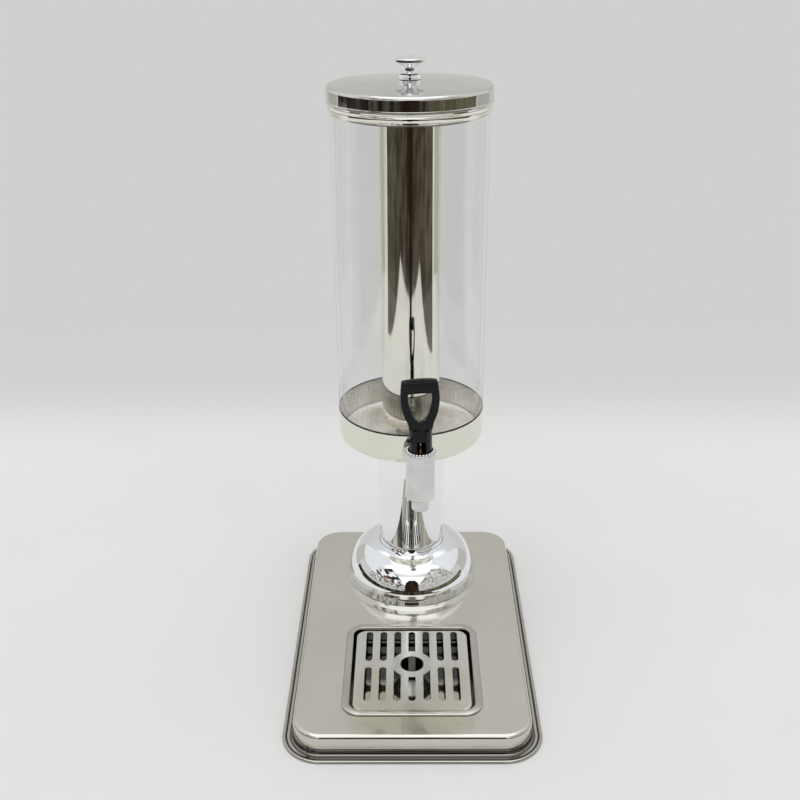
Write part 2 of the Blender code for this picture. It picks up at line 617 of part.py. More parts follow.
def flat_shape(name, outlines, thickness, bevel):
    """A flat piece lying in X and Z, from closed outlines; the ones inside others are openings."""
    curve = bpy.data.curves.new(name, "CURVE")
    curve.dimensions = "2D"
    curve.fill_mode = "BOTH"
    curve.extrude = thickness / 2 - bevel
    curve.bevel_depth = bevel
    curve.bevel_resolution = 1
    curve.offset = -bevel
    for outline in outlines:
        spline = curve.splines.new("POLY")
        spline.points.add(len(outline) - 1)
        for point, (x, z) in zip(spline.points, outline):
            point.co = (x, z, 0, 1)
        spline.use_cyclic_u = True
    source = bpy.data.objects.new(name + "_outline", curve)
    parts.objects.link(source)
    bpy.context.view_layer.update()
    mesh = bpy.data.meshes.new_from_object(source.evaluated_get(bpy.context.evaluated_depsgraph_get()))
    bpy.data.objects.remove(source, do_unlink=True)
    shape = bmesh.new()
    shape.from_mesh(mesh)
    bmesh.ops.remove_doubles(shape, verts=shape.verts, dist=0.00001)
    upright = Vector((0, 1, 0)).rotation_difference(Vector((0, 0, 1))).to_matrix()
    bmesh.ops.rotate(shape, verts=shape.verts, cent=(0, 0, 0), matrix=upright)
    bmesh.ops.recalc_face_normals(shape, faces=shape.faces)
    shape.to_mesh(mesh)
    shape.free()
    mesh.materials.clear()
    return mesh


def mirrored(half):
    """A closed outline from its right half, listed from top to bottom."""
    return half + [(-x, z) for x, z in reversed(half) if x > 0]


def curve_through(points, steps=4):
    """A smooth line through the points, as Catmull-Rom segments."""
    made = []
    for i in range(len(points) - 1):
        p0 = Vector(points[max(i - 1, 0)])
        p1 = Vector(points[i])
        p2 = Vector(points[i + 1])
        p3 = Vector(points[min(i + 2, len(points) - 1)])
        for step in range(steps):
            t = step / steps
            at = 0.5 * (2 * p1 + (p2 - p0) * t + (2 * p0 - 5 * p1 + 4 * p2 - p3) * t * t
                        + (3 * p1 - p0 - 3 * p2 + p3) * t * t * t)
            made.append((at.x, at.y))
    return made + [tuple(points[-1])]


def make_lever(tank_frame):
    """The shield-shaped handle, its shank in the bonnet's slot and the fork that lifts the valve stem."""
    at = (0, -TAP_REACH - PIN_FORWARD, PIN_Z)
    top = LEVER_TOP - PIN_Z
    grip = [(0, top + 1 * MM), (10 * MM, top + 0.7 * MM), (17.4 * MM, top - 0.2 * MM),
            (18.3 * MM, top - 1.6 * MM)]
    side = curve_through([(18.3 * MM, top - 1.6 * MM), (19.7 * MM, top - 20 * MM), (17.6 * MM, top - 35 * MM),
                          (13.6 * MM, top - 45.5 * MM), (11.7 * MM, BONNET_TOP - PIN_Z + 0.8 * MM)])
    outside = mirrored(grip + side[1:])
    window = [(0, top - 13.8 * MM), (12 * MM, top - 14.2 * MM)]
    window_side = curve_through([(12 * MM, top - 14.2 * MM), (11.8 * MM, top - 24 * MM),
                                 (8.6 * MM, top - 36 * MM), (3.4 * MM, top - 44.4 * MM),
                                 (0, top - 46 * MM)], 3)
    inside = mirrored(window + window_side[1:])
    outline = flat_shape("tap_lever", [outside, inside], LEVER_THICKNESS, 0.8 * MM)
    blade = place("tap_lever", outline, BLACK, at=at, parent=tank_frame)
    smooth(blade)
    half = LEVER_SHANK_WIDTH / 2
    eye = 3.2 * MM
    shank = box("lever_shank", (-half, -eye, -1 * MM), (half, eye, BONNET_TOP - PIN_Z + 6 * MM), at=at,
                parent=tank_frame, helper=True)
    fuse(blade, shank)
    crosswise = (0, math.radians(90), 0)
    fuse(blade, rod("lever_eye", eye, -half, half, None, at=at, parent=tank_frame, turn=crosswise,
                    steps=20, helper=True))
    prong = half - STEM_RADIUS - 0.4 * MM
    for side_x in (-1, 1):
        x = side_x * (half - prong / 2)
        low_x = x - prong / 2
        high_x = x + prong / 2
        fuse(blade, box(f"fork_arm_{side_x}", (low_x, 0, -FORK_RADIUS), (high_x, PIN_FORWARD, FORK_RADIUS),
                        at=at, parent=tank_frame, helper=True))
        tip = (at[0], at[1] + PIN_FORWARD, at[2])
        fuse(blade, rod(f"fork_tip_{side_x}", FORK_RADIUS, low_x, high_x, None, at=tip, parent=tank_frame,
                        turn=crosswise, steps=12, helper=True))
    cut(blade, rod("eye_bore", PIN_RADIUS + GAP, -15 * MM, 15 * MM, None, at=at, parent=tank_frame,
                   turn=crosswise, steps=16, helper=True))


def make_valve(tank_frame):
    """The stem hangs from the lever's fork; its cup closes the way down to the spout."""
    at = (0, -TAP_REACH, 0)
    seat_z = TAP_BODY_BOTTOM + 8 * MM + GAP
    cup_top = seat_z + 9 * MM
    head = PIN_Z + FORK_RADIUS + GAP
    turned("valve_stem", rounded([
        (0, head + 1.8 * MM), (3.2 * MM, head + 1.8 * MM, 0.4 * MM), (3.2 * MM, head), (STEM_RADIUS, head),
        (STEM_RADIUS, cup_top + 4 * MM), (5 * MM, cup_top + 4 * MM), (5 * MM, cup_top + 3 * MM),
        (STEM_RADIUS, cup_top + 3 * MM), (STEM_RADIUS, seat_z + 3 * MM), (0, seat_z + 3 * MM),
    ], closed=False), BRASS, at=at, parent=tank_frame, steps=20, closed=False)
    turned("valve_cup", rounded([
        (STEM_RADIUS + GAP, cup_top), (5 * MM, cup_top, 1 * MM), (8.6 * MM, seat_z + 3 * MM, 1 * MM),
        (8.6 * MM, seat_z, 0.6 * MM), (0, seat_z), (0, seat_z + 3 * MM - GAP),
        (STEM_RADIUS + GAP, seat_z + 3 * MM - GAP),
    ]), SILICONE, at=at, parent=tank_frame, steps=SMALL)
    low = cup_top + 4 * MM + GAP + 0.6 * MM
    high = TAP_BODY_TOP - 3 * MM
    wire = 0.5 * MM
    turns = 5
    per_turn = 10
    curve = bpy.data.curves.new("return_spring", "CURVE")
    curve.dimensions = "3D"
    curve.bevel_depth = wire
    curve.bevel_resolution = 1
    curve.use_fill_caps = True
    spline = curve.splines.new("POLY")
    count = turns * per_turn + 1
    spline.points.add(count - 1)
    for i, point in enumerate(spline.points):
        angle = 2 * math.pi * i / per_turn
        height = low + (high - low) * i / (count - 1)
        point.co = (4.2 * MM * math.cos(angle), 4.2 * MM * math.sin(angle), height, 1)
    curve.materials.append(STEEL)
    spring = bpy.data.objects.new("return_spring", curve)
    parts.objects.link(spring)
    spring.location = at
    spring.parent = tank_frame
    plate_radius = BONNET_RADIUS - 2.4 * MM - GAP
    ring("spring_plate", STEM_RADIUS + GAP, plate_radius, high + 1 * MM, high + 2.4 * MM, BRASS, at=at,
         parent=tank_frame, steps=SMALL)


tank_axis = bpy.data.objects.new("tank_axis", None)
parts.objects.link(tank_axis)
tank_axis.location = (0, COLUMN_Y, 0)
tank_axis.rotation_euler = (0, 0, TAP_TURN)

make_base()
make_drip_pan()
make_grille()
make_column()
make_tank(tank_axis)
make_lid(tank_axis)
make_tap_body(tank_axis)
make_tap_bonnet(tank_axis)
make_lever(tank_axis)
make_valve(tank_axis)
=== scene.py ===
"""Looks of the cold drink dispenser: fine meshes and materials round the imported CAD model, a pale studio
and the camera. Metres, +Z up, in the CAD model's own frame."""

import json
import math

import bmesh
import bpy
from mathutils import Matrix, Vector


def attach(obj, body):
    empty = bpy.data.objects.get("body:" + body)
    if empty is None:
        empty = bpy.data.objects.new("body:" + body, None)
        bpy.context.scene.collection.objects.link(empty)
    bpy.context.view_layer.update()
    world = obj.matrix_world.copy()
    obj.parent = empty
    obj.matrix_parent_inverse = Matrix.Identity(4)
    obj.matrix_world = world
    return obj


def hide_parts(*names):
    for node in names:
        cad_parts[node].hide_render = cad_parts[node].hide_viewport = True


MM = 0.001
TAU = 2 * math.pi

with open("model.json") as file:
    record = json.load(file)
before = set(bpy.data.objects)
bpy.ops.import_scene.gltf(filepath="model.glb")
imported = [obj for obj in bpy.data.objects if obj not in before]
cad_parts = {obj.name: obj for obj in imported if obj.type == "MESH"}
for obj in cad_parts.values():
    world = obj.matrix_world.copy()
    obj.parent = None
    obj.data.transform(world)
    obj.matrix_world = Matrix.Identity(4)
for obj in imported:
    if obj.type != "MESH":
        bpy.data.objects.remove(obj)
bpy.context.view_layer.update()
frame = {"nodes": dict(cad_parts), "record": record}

# ---------------------------------------------------------------- sizes, as in the CAD model
COLUMN_Y = 100 * MM
PLATE_HALF_X = 119 * MM
PLATE_HALF_Y = 187.5 * MM
PLATE_CORNER = 29 * MM
TAP_TURN = math.radians(4.9)
TAP_REACH = 112 * MM
TAP_BARREL_Z = 228.5 * MM
TANK = Matrix.Translation((0, COLUMN_Y, 0)) @ Matrix.Rotation(TAP_TURN, 4, "Z")
TAP = TANK @ Matrix.Translation((0, -TAP_REACH, 0))
PIN_FORWARD = 7 * MM
PIN_Z = 260 * MM
COLUMN = Matrix.Translation((0, COLUMN_Y, 0))
LENGTHWISE = Matrix.Rotation(math.radians(90), 4, "X")


# ---------------------------------------------------------------- materials
def add(tree, kind, inputs=(), **settings):
    node = tree.nodes.new(kind)
    for key, value in settings.items():
        setattr(node, key, value)
    for socket, value in dict(inputs).items():
        if isinstance(value, bpy.types.NodeSocket):
            tree.links.new(value, node.inputs[socket])
        else:
            node.inputs[socket].default_value = value
    return node


def new_material(name):
    made = bpy.data.materials.new(name)
    made.use_nodes = True
    return made, made.node_tree, made.node_tree.nodes["Principled BSDF"]


def coordinates(tree, scale=(1, 1, 1)):
    where = add(tree, "ShaderNodeTexCoord")
    return add(tree, "ShaderNodeMapping", {"Vector": where.outputs["Object"], "Scale": scale}).outputs[0]


def noise(tree, scale, detail=3.0, stretch=(1, 1, 1)):
    made = add(tree, "ShaderNodeTexNoise", {
        "Vector": coordinates(tree, stretch), "Scale": scale, "Detail": detail})
    return made.outputs["Fac"]


def spread(tree, value, low, high, at=(0.3, 0.7)):
    return add(tree, "ShaderNodeMapRange", {
        "Value": value, "From Min": at[0], "From Max": at[1], "To Min": low, "To Max": high}).outputs[0]


def tint(tree, value, first, second, at=(0.3, 0.7)):
    ramp = add(tree, "ShaderNodeValToRGB", {"Fac": value})
    ramp.color_ramp.elements[0].position = at[0]
    ramp.color_ramp.elements[1].position = at[1]
    ramp.color_ramp.elements[0].color = (*first, 1)
    ramp.color_ramp.elements[1].color = (*second, 1)
    return ramp.outputs[0]


def metal(name, dark, light, rough, stretch=(1, 1, 1), cloud=14.0, grain=900.0, bump=0.0, wave=0.0,
          anisotropic=0.0, tangent="Z"):
    """A metal whose colour and roughness wander a little, with fine grain and slow waves in the surface."""
    made, tree, shader = new_material(name)
    shader.inputs["Metallic"].default_value = 1
    slow = noise(tree, cloud, 4)
    fine = noise(tree, grain, 3, stretch)
    tree.links.new(tint(tree, slow, dark, light), shader.inputs["Base Color"])
    mixed = add(tree, "ShaderNodeMath", {0: slow, 1: fine}, operation="MULTIPLY").outputs[0]
    tree.links.new(spread(tree, mixed, rough[0], rough[1], (0.12, 0.42)), shader.inputs["Roughness"])
    shader.inputs["Anisotropic"].default_value = anisotropic
    if anisotropic:
        way = add(tree, "ShaderNodeTangent", direction_type="RADIAL", axis=tangent)
        tree.links.new(way.outputs[0], shader.inputs["Tangent"])
    normal = None
    if wave:
        swell = add(tree, "ShaderNodeBump", {
            "Height": noise(tree, 38, 1), "Strength": wave, "Distance": 0.002})
        normal = swell.outputs[0]
    if bump:
        scratch = add(tree, "ShaderNodeBump", {"Height": fine, "Strength": bump, "Distance": 0.0002})
        if normal:
            tree.links.new(normal, scratch.inputs["Normal"])
        normal = scratch.outputs[0]
    if normal:
        tree.links.new(normal, shader.inputs["Normal"])
    return made


def multiply_colour(tree, shader, shade):
    """Darkens what already feeds the shader's base colour."""
    before = shader.inputs["Base Color"].links[0].from_socket
    product = add(tree, "ShaderNodeMix", {"Factor": 1.0, "A": before, "B": shade}, data_type="RGBA",
                  blend_type="MULTIPLY")
    tree.links.new(product.outputs[2], shader.inputs["Base Color"])


def paint_groove_shade(look, inner_x, inner_y):
    """Paints shade and dark reflection bands on the foot of the tray's wall and in the groove beside the rolled edge.
    """
    tree = look.node_tree
    shader = tree.nodes["Principled BSDF"]
    where = add(tree, "ShaderNodeTexCoord").outputs["Object"]
    folded = add(tree, "ShaderNodeVectorMath", {0: where}, operation="ABSOLUTE").outputs[0]
    beyond = add(tree, "ShaderNodeVectorMath", {0: folded, 1: (inner_x, inner_y, 1)}, operation="SUBTRACT").outputs[0]
    outward = add(tree, "ShaderNodeVectorMath", {0: beyond, 1: (0, 0, 0)}, operation="MAXIMUM").outputs[0]
    reach = add(tree, "ShaderNodeVectorMath", {0: outward}, operation="LENGTH").outputs["Value"]
    height = add(tree, "ShaderNodeSeparateXYZ", {0: where}).outputs[2]
    # Pairs of distance in millimetres and painted shade level, 1 being unshaded: outwards over the flange, and up the
    # wall.
    across = ((0.0, 1.0), (1.0, 0.9), (2.0, 0.20), (3.4, 0.16), (4.2, 0.75), (5.9, 0.75), (6.4, 0.07), (7.2, 0.07),
              (7.8, 0.95), (9.0, 0.80), (11.0, 0.62))
    upward = ((0.0, 1.0), (2.8, 1.0), (3.1, 0.16), (5.6, 0.12), (7.6, 0.55), (9.0, 1.0))
    for value, start, steps in ((reach, PLATE_CORNER, across), (height, 0.0, upward)):
        span = steps[-1][0] * MM
        level = spread(tree, value, 0.0, 1.0, (start, start + span))
        ramp = add(tree, "ShaderNodeValToRGB", {"Fac": level})
        ramp.color_ramp.elements[0].color = (steps[0][1],) * 3 + (1,)
        ramp.color_ramp.elements[1].color = (steps[-1][1],) * 3 + (1,)
        for at, shade in steps[1:-1]:
            ramp.color_ramp.elements.new(at * MM / span).color = (shade, shade, shade, 1)
        multiply_colour(tree, shader, ramp.outputs[0])


def paint_back_shade(look, front, back, shade, under):
    """Paints shade on a look from one depth to another, below a height: the painted shade of the pan under the grille.
    """
    tree = look.node_tree
    shader = tree.nodes["Principled BSDF"]
    where = add(tree, "ShaderNodeTexCoord").outputs["Object"]
    depth, height = add(tree, "ShaderNodeSeparateXYZ", {0: where}).outputs[1:3]
    inside = spread(tree, height, 1.0, 0.0, (under - 2 * MM, under))
    share = add(tree, "ShaderNodeMath", {0: inside, 1: spread(tree, depth, 0.0, 1.0, (front, back))},
                operation="MULTIPLY").outputs[0]
    level = tint(tree, share, (1, 1, 1), (shade, shade, shade), (0.0, 1.0))
    multiply_colour(tree, shader, level)


def plastic(name, dark, light, rough, cloud=60.0, bump=0.05, specular=0.5):
    made, tree, shader = new_material(name)
    slow = noise(tree, cloud, 4)
    fine = noise(tree, 1800, 2)
    tree.links.new(tint(tree, slow, dark, light), shader.inputs["Base Color"])
    tree.links.new(spread(tree, slow, rough[0], rough[1]), shader.inputs["Roughness"])
    shader.inputs["Specular IOR Level"].default_value = specular
    grain = add(tree, "ShaderNodeBump", {"Height": fine, "Strength": bump, "Distance": 0.0002})
    tree.links.new(grain.outputs[0], shader.inputs["Normal"])
    return made


def clear_wall(name):
    """Clear acrylic: nearly all passes, a little is mirrored, more at a glancing angle."""
    made, tree, shader = new_material(name)
    tree.nodes.remove(shader)
    facing = add(tree, "ShaderNodeLayerWeight", {"Blend": 0.5}).outputs["Facing"]
    streaks = noise(tree, 9, 3, (1, 1, 0.03))
    faint = tint(tree, streaks, (0.972, 0.975, 0.973), (0.997, 0.998, 0.998))
    rim = add(tree, "ShaderNodeMix", {
        "Factor": spread(tree, facing, 0.0, 1.0, (0.86, 1.0)), "A": faint, "B": (0.72, 0.74, 0.74, 1)},
        data_type="RGBA")
    through = add(tree, "ShaderNodeBsdfTransparent", {"Color": rim.outputs[2]})
    mirror = add(tree, "ShaderNodeBsdfGlossy", {"Color": (1, 1, 1, 1), "Roughness": 0.02})
    steep = add(tree, "ShaderNodeMath", {0: facing, 1: 5.0}, operation="POWER").outputs[0]
    share = spread(tree, steep, 0.03, 0.75, (0.0, 1.0))
    both = add(tree, "ShaderNodeMixShader", {0: share, 1: through.outputs[0], 2: mirror.outputs[0]})
    tree.links.new(both.outputs[0], tree.nodes["Material Output"].inputs["Surface"])
    return made


POLISHED = metal("polished_steel_look", (0.84, 0.82, 0.735), (0.90, 0.88, 0.80), (0.035, 0.075), cloud=30)
BAND = metal("pan_outside_look", (0.775, 0.775, 0.68), (0.83, 0.83, 0.745), (0.05, 0.10), (1, 1, 0.02), cloud=25,
             grain=400)
LID_LOOK = metal("lid_look", (0.66, 0.655, 0.63), (0.73, 0.725, 0.70), (0.035, 0.07), cloud=20, wave=0.10)
BRUSHED_IN = metal("pan_inside_look", (0.82, 0.79, 0.745), (0.93, 0.90, 0.86), (0.20, 0.34), (1, 1, 0.03),
                   cloud=40, grain=500, bump=0.12, anisotropic=0.5)
CHROME = metal("chrome_look", (0.90, 0.91, 0.92), (0.96, 0.97, 0.985), (0.012, 0.03), cloud=24)
TAP_CHROME = metal("tap_chrome_look", (0.64, 0.655, 0.64), (0.74, 0.755, 0.745), (0.10, 0.2), cloud=60)
SATIN = metal("satin_steel_look", (0.645, 0.62, 0.56), (0.70, 0.675, 0.61), (0.10, 0.15), (0.06, 1, 1),
              cloud=9, grain=1400, bump=0.05, anisotropic=0.45, tangent="X")
# Painted shade and painted dark reflection bands on the tray's wall foot and in the groove beside the flange.
paint_groove_shade(SATIN, PLATE_HALF_X - PLATE_CORNER, PLATE_HALF_Y - PLATE_CORNER)
GRILLE_LOOK = metal("grille_look", (0.66, 0.64, 0.60), (0.74, 0.72, 0.68), (0.13, 0.20), (0.06, 1, 1),
                    cloud=18, grain=1400, bump=0.04)
PAN_LOOK = metal("drip_pan_look", (0.50, 0.48, 0.43), (0.58, 0.56, 0.51), (0.07, 0.13), cloud=24)
STEEL = metal("plain_steel_look", (0.50, 0.50, 0.48), (0.62, 0.62, 0.60), (0.28, 0.42), cloud=90, bump=0.1)
BRASS = metal("brass_look", (0.62, 0.42, 0.17), (0.80, 0.58, 0.28), (0.16, 0.30), cloud=120, bump=0.1)
BLACK = plastic("black_plastic_look", (0.004, 0.004, 0.005), (0.009, 0.0095, 0.011), (0.14, 0.24), specular=0.20)
RUBBER = plastic("black_rubber_look", (0.010, 0.010, 0.010), (0.018, 0.018, 0.018), (0.5, 0.65), bump=0.12,
                 specular=0.2)
SILICONE = plastic("white_silicone_look", (0.74, 0.74, 0.71), (0.82, 0.82, 0.79), (0.42, 0.55))
CLEAR = clear_wall("clear_acrylic_look")
# Painted shade on the drip pan under the grille, deeper towards the back.
paint_back_shade(PAN_LOOK, -96 * MM, -80 * MM, 0.14, 21 * MM)


def seamed_tube(name):
    """Polished tube steel with one welded seam up its front."""
    made = POLISHED.copy()
    made.name = name
    tree = made.node_tree
    shader = tree.nodes["Principled BSDF"]
    where = add(tree, "ShaderNodeTexCoord")
    split = add(tree, "ShaderNodeSeparateXYZ", {0: where.outputs["Object"]})
    shift = add(tree, "ShaderNodeMath", {0: split.outputs[0], 1: 0.0006}, operation="SUBTRACT")
    size = add(tree, "ShaderNodeMath", {0: shift.outputs[0]}, operation="ABSOLUTE")
    front = add(tree, "ShaderNodeMath", {0: split.outputs[1], 1: COLUMN_Y}, operation="LESS_THAN")
    line = spread(tree, size.outputs[0], 1.0, 0.0, (0.0005, 0.0011))
    seam = add(tree, "ShaderNodeMath", {0: line, 1: front.outputs[0]}, operation="MULTIPLY")
    before = shader.inputs["Base Color"].links[0].from_socket
    colour = add(tree, "ShaderNodeMix", {"Factor": seam.outputs[0], "A": before, "B": (0.40, 0.37, 0.31, 1)},
                 data_type="RGBA")
    tree.links.new(colour.outputs[2], shader.inputs["Base Color"])
    return made


TUBE_LOOK = seamed_tube("ice_tube_look")


# ---------------------------------------------------------------- shapes
def rounded(points, steps=5, closed=True):
    """Outline points, each (x, z) or (x, z, fillet radius), with the fillets turned into arcs."""
    made = []
    for index, point in enumerate(points):
        corner = Vector(point[:2])
        radius = point[2] if len(point) == 3 else 0
        if not radius or (not closed and index in (0, len(points) - 1)):
            made.append(corner)
            continue
        before = (Vector(points[index - 1][:2]) - corner).normalized()
        after = (Vector(points[(index + 1) % len(points)][:2]) - corner).normalized()
        half = before.angle(after) / 2
        middle = corner + (before + after).normalized() * radius / math.sin(half)
        start = corner + before * radius / math.tan(half) - middle
        end = corner + after * radius / math.tan(half) - middle
        sweep = start.angle_signed(end)
        for step in range(steps + 1):
            turned = -sweep * step / steps
            cosine = math.cos(turned)
            sine = math.sin(turned)
            spoke = Vector((start.x * cosine - start.y * sine, start.x * sine + start.y * cosine))
            made.append(middle + spoke)
    return made


def arc(x, z, radius, start, end, steps):
    angles = [math.radians(start + (end - start) * step / steps) for step in range(steps + 1)]
    return [(x + radius * math.cos(a), z + radius * math.sin(a)) for a in angles]


def mesh_object(name, shape, matrix=None, smooth=30):
    bmesh.ops.recalc_face_normals(shape, faces=shape.faces)
    mesh = bpy.data.meshes.new(name)
    shape.to_mesh(mesh)
    shape.free()
    if matrix is not None:
        mesh.transform(matrix)
    if smooth:
        mesh.shade_smooth()
        mesh.set_sharp_from_angle(angle=math.radians(smooth))
    obj = bpy.data.objects.new(name, mesh)
    bpy.context.scene.collection.objects.link(obj)
    return obj


def lathe(name, outline, matrix=None, steps=144, closed=True, smooth=30):
    """Turns an outline of (radius, z) about Z. An open one starts and ends on the axis."""
    shape = bmesh.new()
    loops = []
    for radius, z in outline:
        if radius < 1e-7:
            loops.append([shape.verts.new((0, 0, z))])
        else:
            loops.append([shape.verts.new((radius * math.cos(TAU * i / steps), radius * math.sin(TAU * i / steps), z))
                          for i in range(steps)])
    pairs = list(zip(loops, loops[1:]))
    if closed:
        pairs.append((loops[-1], loops[0]))
    for one, two in pairs:
        for i in range(steps):
            j = (i + 1) % steps
            corners = [one[i % len(one)], one[j % len(one)], two[j % len(two)], two[i % len(two)]]
            unique = list(dict.fromkeys(corners))
            if len(unique) > 2:
                shape.faces.new(unique)
    return mesh_object(name, shape, matrix, smooth)


def rounded_rectangle(half_x, front, back, radius, z, steps=14):
    corners = [
        (half_x - radius, back - radius, 0),
        (-half_x + radius, back - radius, 90),
        (-half_x + radius, front + radius, 180),
        (half_x - radius, front + radius, 270),
    ]
    points = []
    for x, y, start in corners:
        for step in range(steps + 1):
            angle = math.radians(start + 90 * step / steps)
            points.append((x + radius * math.cos(angle), y + radius * math.sin(angle), z))
    return points


def loft(name, sections, thickness, closed_middle, smooth=30):
    """A sheet through sections listed from the middle outwards."""
    shape = bmesh.new()
    loops = [[shape.verts.new(point) for point in section] for section in sections]
    for inner, outer in zip(loops, loops[1:]):
        for i in range(len(inner)):
            j = (i + 1) % len(inner)
            shape.faces.new((inner[i], outer[i], outer[j], inner[j]))
    if closed_middle:
        shape.faces.new(loops[0])
    mesh = bpy.data.meshes.new(name)
    shape.to_mesh(mesh)
    shape.free()
    mesh.shade_smooth()
    mesh.set_sharp_from_angle(angle=math.radians(smooth))
    obj = bpy.data.objects.new(name, mesh)
    bpy.context.scene.collection.objects.link(obj)
    solid = obj.modifiers.new("sheet", "SOLIDIFY")
    solid.thickness = thickness
    solid.offset = -1
    return obj


def prism(name, outline, low, high, matrix=None):
    """A straight block with a flat outline in X and Y."""
    shape = bmesh.new()
    face = shape.faces.new([shape.verts.new((x, y, low)) for x, y in outline])
    grown = bmesh.ops.extrude_face_region(shape, geom=[face])
    top = [item for item in grown["geom"] if isinstance(item, bmesh.types.BMVert)]
    bmesh.ops.translate(shape, verts=top, vec=(0, 0, high - low))
    return mesh_object(name, shape, matrix)


def soften(obj, width, segments=3, angle=50):
    """Rounds the sharp edges."""
    modifier = obj.modifiers.new("soften", "BEVEL")
    modifier.width = width
    modifier.segments = segments
    modifier.limit_method = "ANGLE"
    modifier.angle_limit = math.radians(angle)
    modifier.miter_outer = "MITER_ARC"
    apply(obj)
    obj.data.shade_smooth()
    obj.data.set_sharp_from_angle(angle=math.radians(35))
    return obj


def apply(obj):
    """Turns the object's modifiers into its mesh."""
    bpy.context.view_layer.update()
    mesh = bpy.data.meshes.new_from_object(obj.evaluated_get(bpy.context.evaluated_depsgraph_get()))
    old = obj.data
    obj.modifiers.clear()
    obj.data = mesh
    bpy.data.meshes.remove(old)
    return obj


def boolean(target, other, operation, smooth=30):
    modifier = target.modifiers.new(operation.lower(), "BOOLEAN")
    modifier.operation = operation
    modifier.object = other
    modifier.solver = "EXACT"
    apply(target)
    bpy.data.objects.remove(other, do_unlink=True)
    target.data.shade_smooth()
    target.data.set_sharp_from_angle(angle=math.radians(smooth))
    return target


def join(target, *others):
    """Adds the others' meshes to the target's, and removes them."""
    shape = bmesh.new()
    for obj in (target, *others):
        apply(obj)
        shape.from_mesh(obj.data)
    shape.to_mesh(target.data)
    shape.free()
    for obj in others:
        bpy.data.objects.remove(obj, do_unlink=True)
    return target


def box(name, low, high, matrix=None, edge=0.0):
    shape = bmesh.new()
    bmesh.ops.create_cube(shape, size=1)
    size = Vector(high) - Vector(low)
    middle = (Vector(high) + Vector(low)) / 2
    bmesh.ops.scale(shape, vec=size, verts=shape.verts)
    bmesh.ops.translate(shape, vec=middle, verts=shape.verts)
    if edge:
        bmesh.ops.bevel(shape, geom=shape.edges[:], offset=edge, segments=3, affect="EDGES", profile=0.5)
    return mesh_object(name, shape, matrix)


def piece(obj, body, look, slot, *nodes):
    """Gives a piece its material and its body, and hides the CAD nodes that it stands for; the slot argument is not
    used.
    """
    for one in look if isinstance(look, (list, tuple)) else [look]:
        obj.data.materials.append(one)
    # Wide faces keep their own normals next to narrow fillets.
    weigh = obj.modifiers.new("normals", "WEIGHTED_NORMAL")
    weigh.keep_sharp = True
    weigh.weight = 100
    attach(obj, body)
    if nodes:
        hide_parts(*nodes)
    return obj


# ---------------------------------------------------------------- base tray
BASE_TOP = 24 * MM
SHEET = 1 * MM
PAN_FRONT = -158.2 * MM
PAN_BACK = -10.4 * MM
PAN_HALF = 71.6 * MM
PAN_CORNER = 19 * MM


def make_base():
    edge = 4.5 * MM
    foot = 1.8 * MM
    cove = 4 * MM
    flange = 11 * MM

    def section(inset, z):
        return rounded_rectangle(PLATE_HALF_X - inset, inset - PLATE_HALF_Y, PLATE_HALF_Y - inset,
                                 PLATE_CORNER - inset, z)

    lip = 6.5 * MM
    opening = rounded_rectangle(PAN_HALF - lip, PAN_FRONT + lip, PAN_BACK - lip, PAN_CORNER - lip, BASE_TOP)
    sections = [opening]
    for step in range(9):
        turn = math.radians(90 - 90 * step / 8)
        sections.append(section(edge - edge * math.cos(turn), BASE_TOP - edge + edge * math.sin(turn)))
    for step in range(9):
        turn = math.radians(90 * step / 8)
        sections.append(section(-cove + cove * math.cos(turn), foot + cove - cove * math.sin(turn)))
    bead = 1.9 * MM
    for step in range(13):
        turn = math.radians(150 - 150 * step / 12)
        sections.append(section(bead - flange - bead * math.cos(turn), foot - 0.95 * MM + bead * math.sin(turn)))
    tray = loft("tray_fine", sections, SHEET, False)
    piece(tray, "stand", SATIN, "satin_steel", "base_tray")


# ---------------------------------------------------------------- drip pan and grille
def make_drip_pan():
    def section(inset, z):
        return rounded_rectangle(PAN_HALF - inset, PAN_FRONT + inset, PAN_BACK - inset, PAN_CORNER - inset, z)

    floor = 6.5 * MM
    high = BASE_TOP + 2.2 * MM
    low = BASE_TOP + 1.3 * MM
    sections = [section(12.2 * MM, floor)]
    for step in range(1, 7):
        turn = math.radians(90 * step / 6)
        sections.append(section(12.2 * MM - 4 * MM * math.sin(turn), floor + 4 * MM - 4 * MM * math.cos(turn)))
    sections.append(section(8 * MM, high - 1.6 * MM))
    for step in range(1, 7):
        turn = math.radians(90 * step / 6)
        sections.append(section(8 * MM - 1.6 * MM * (1 - math.cos(turn)), high - 1.6 * MM + 1.6 * MM * math.sin(turn)))
    for step in range(1, 7):
        part = step / 6
        sections.append(section(6.4 * MM - 5.4 * MM * part, high - (high - low) * part * part * 0.55))
    sections.append(section(0.3 * MM, low - 0.15 * MM))
    sections.append(section(0, low - 0.7 * MM))
    pan = loft("drip_pan_fine", sections, 0.9 * MM, True)
    piece(pan, "drip_pan", PAN_LOOK, "polished_steel", "drip_pan")


SLOT_PITCH = 15.35 * MM
SLOT_HALF = 3.7 * MM
SLOT_FRONT = -134.9 * MM
SLOT_BACK = -22.6 * MM
SLOT_BAR = 10.4 * MM
HOLE_Y = -77.2 * MM
HOLE_RADIUS = 12.5 * MM
LAND_RADIUS = 21.1 * MM


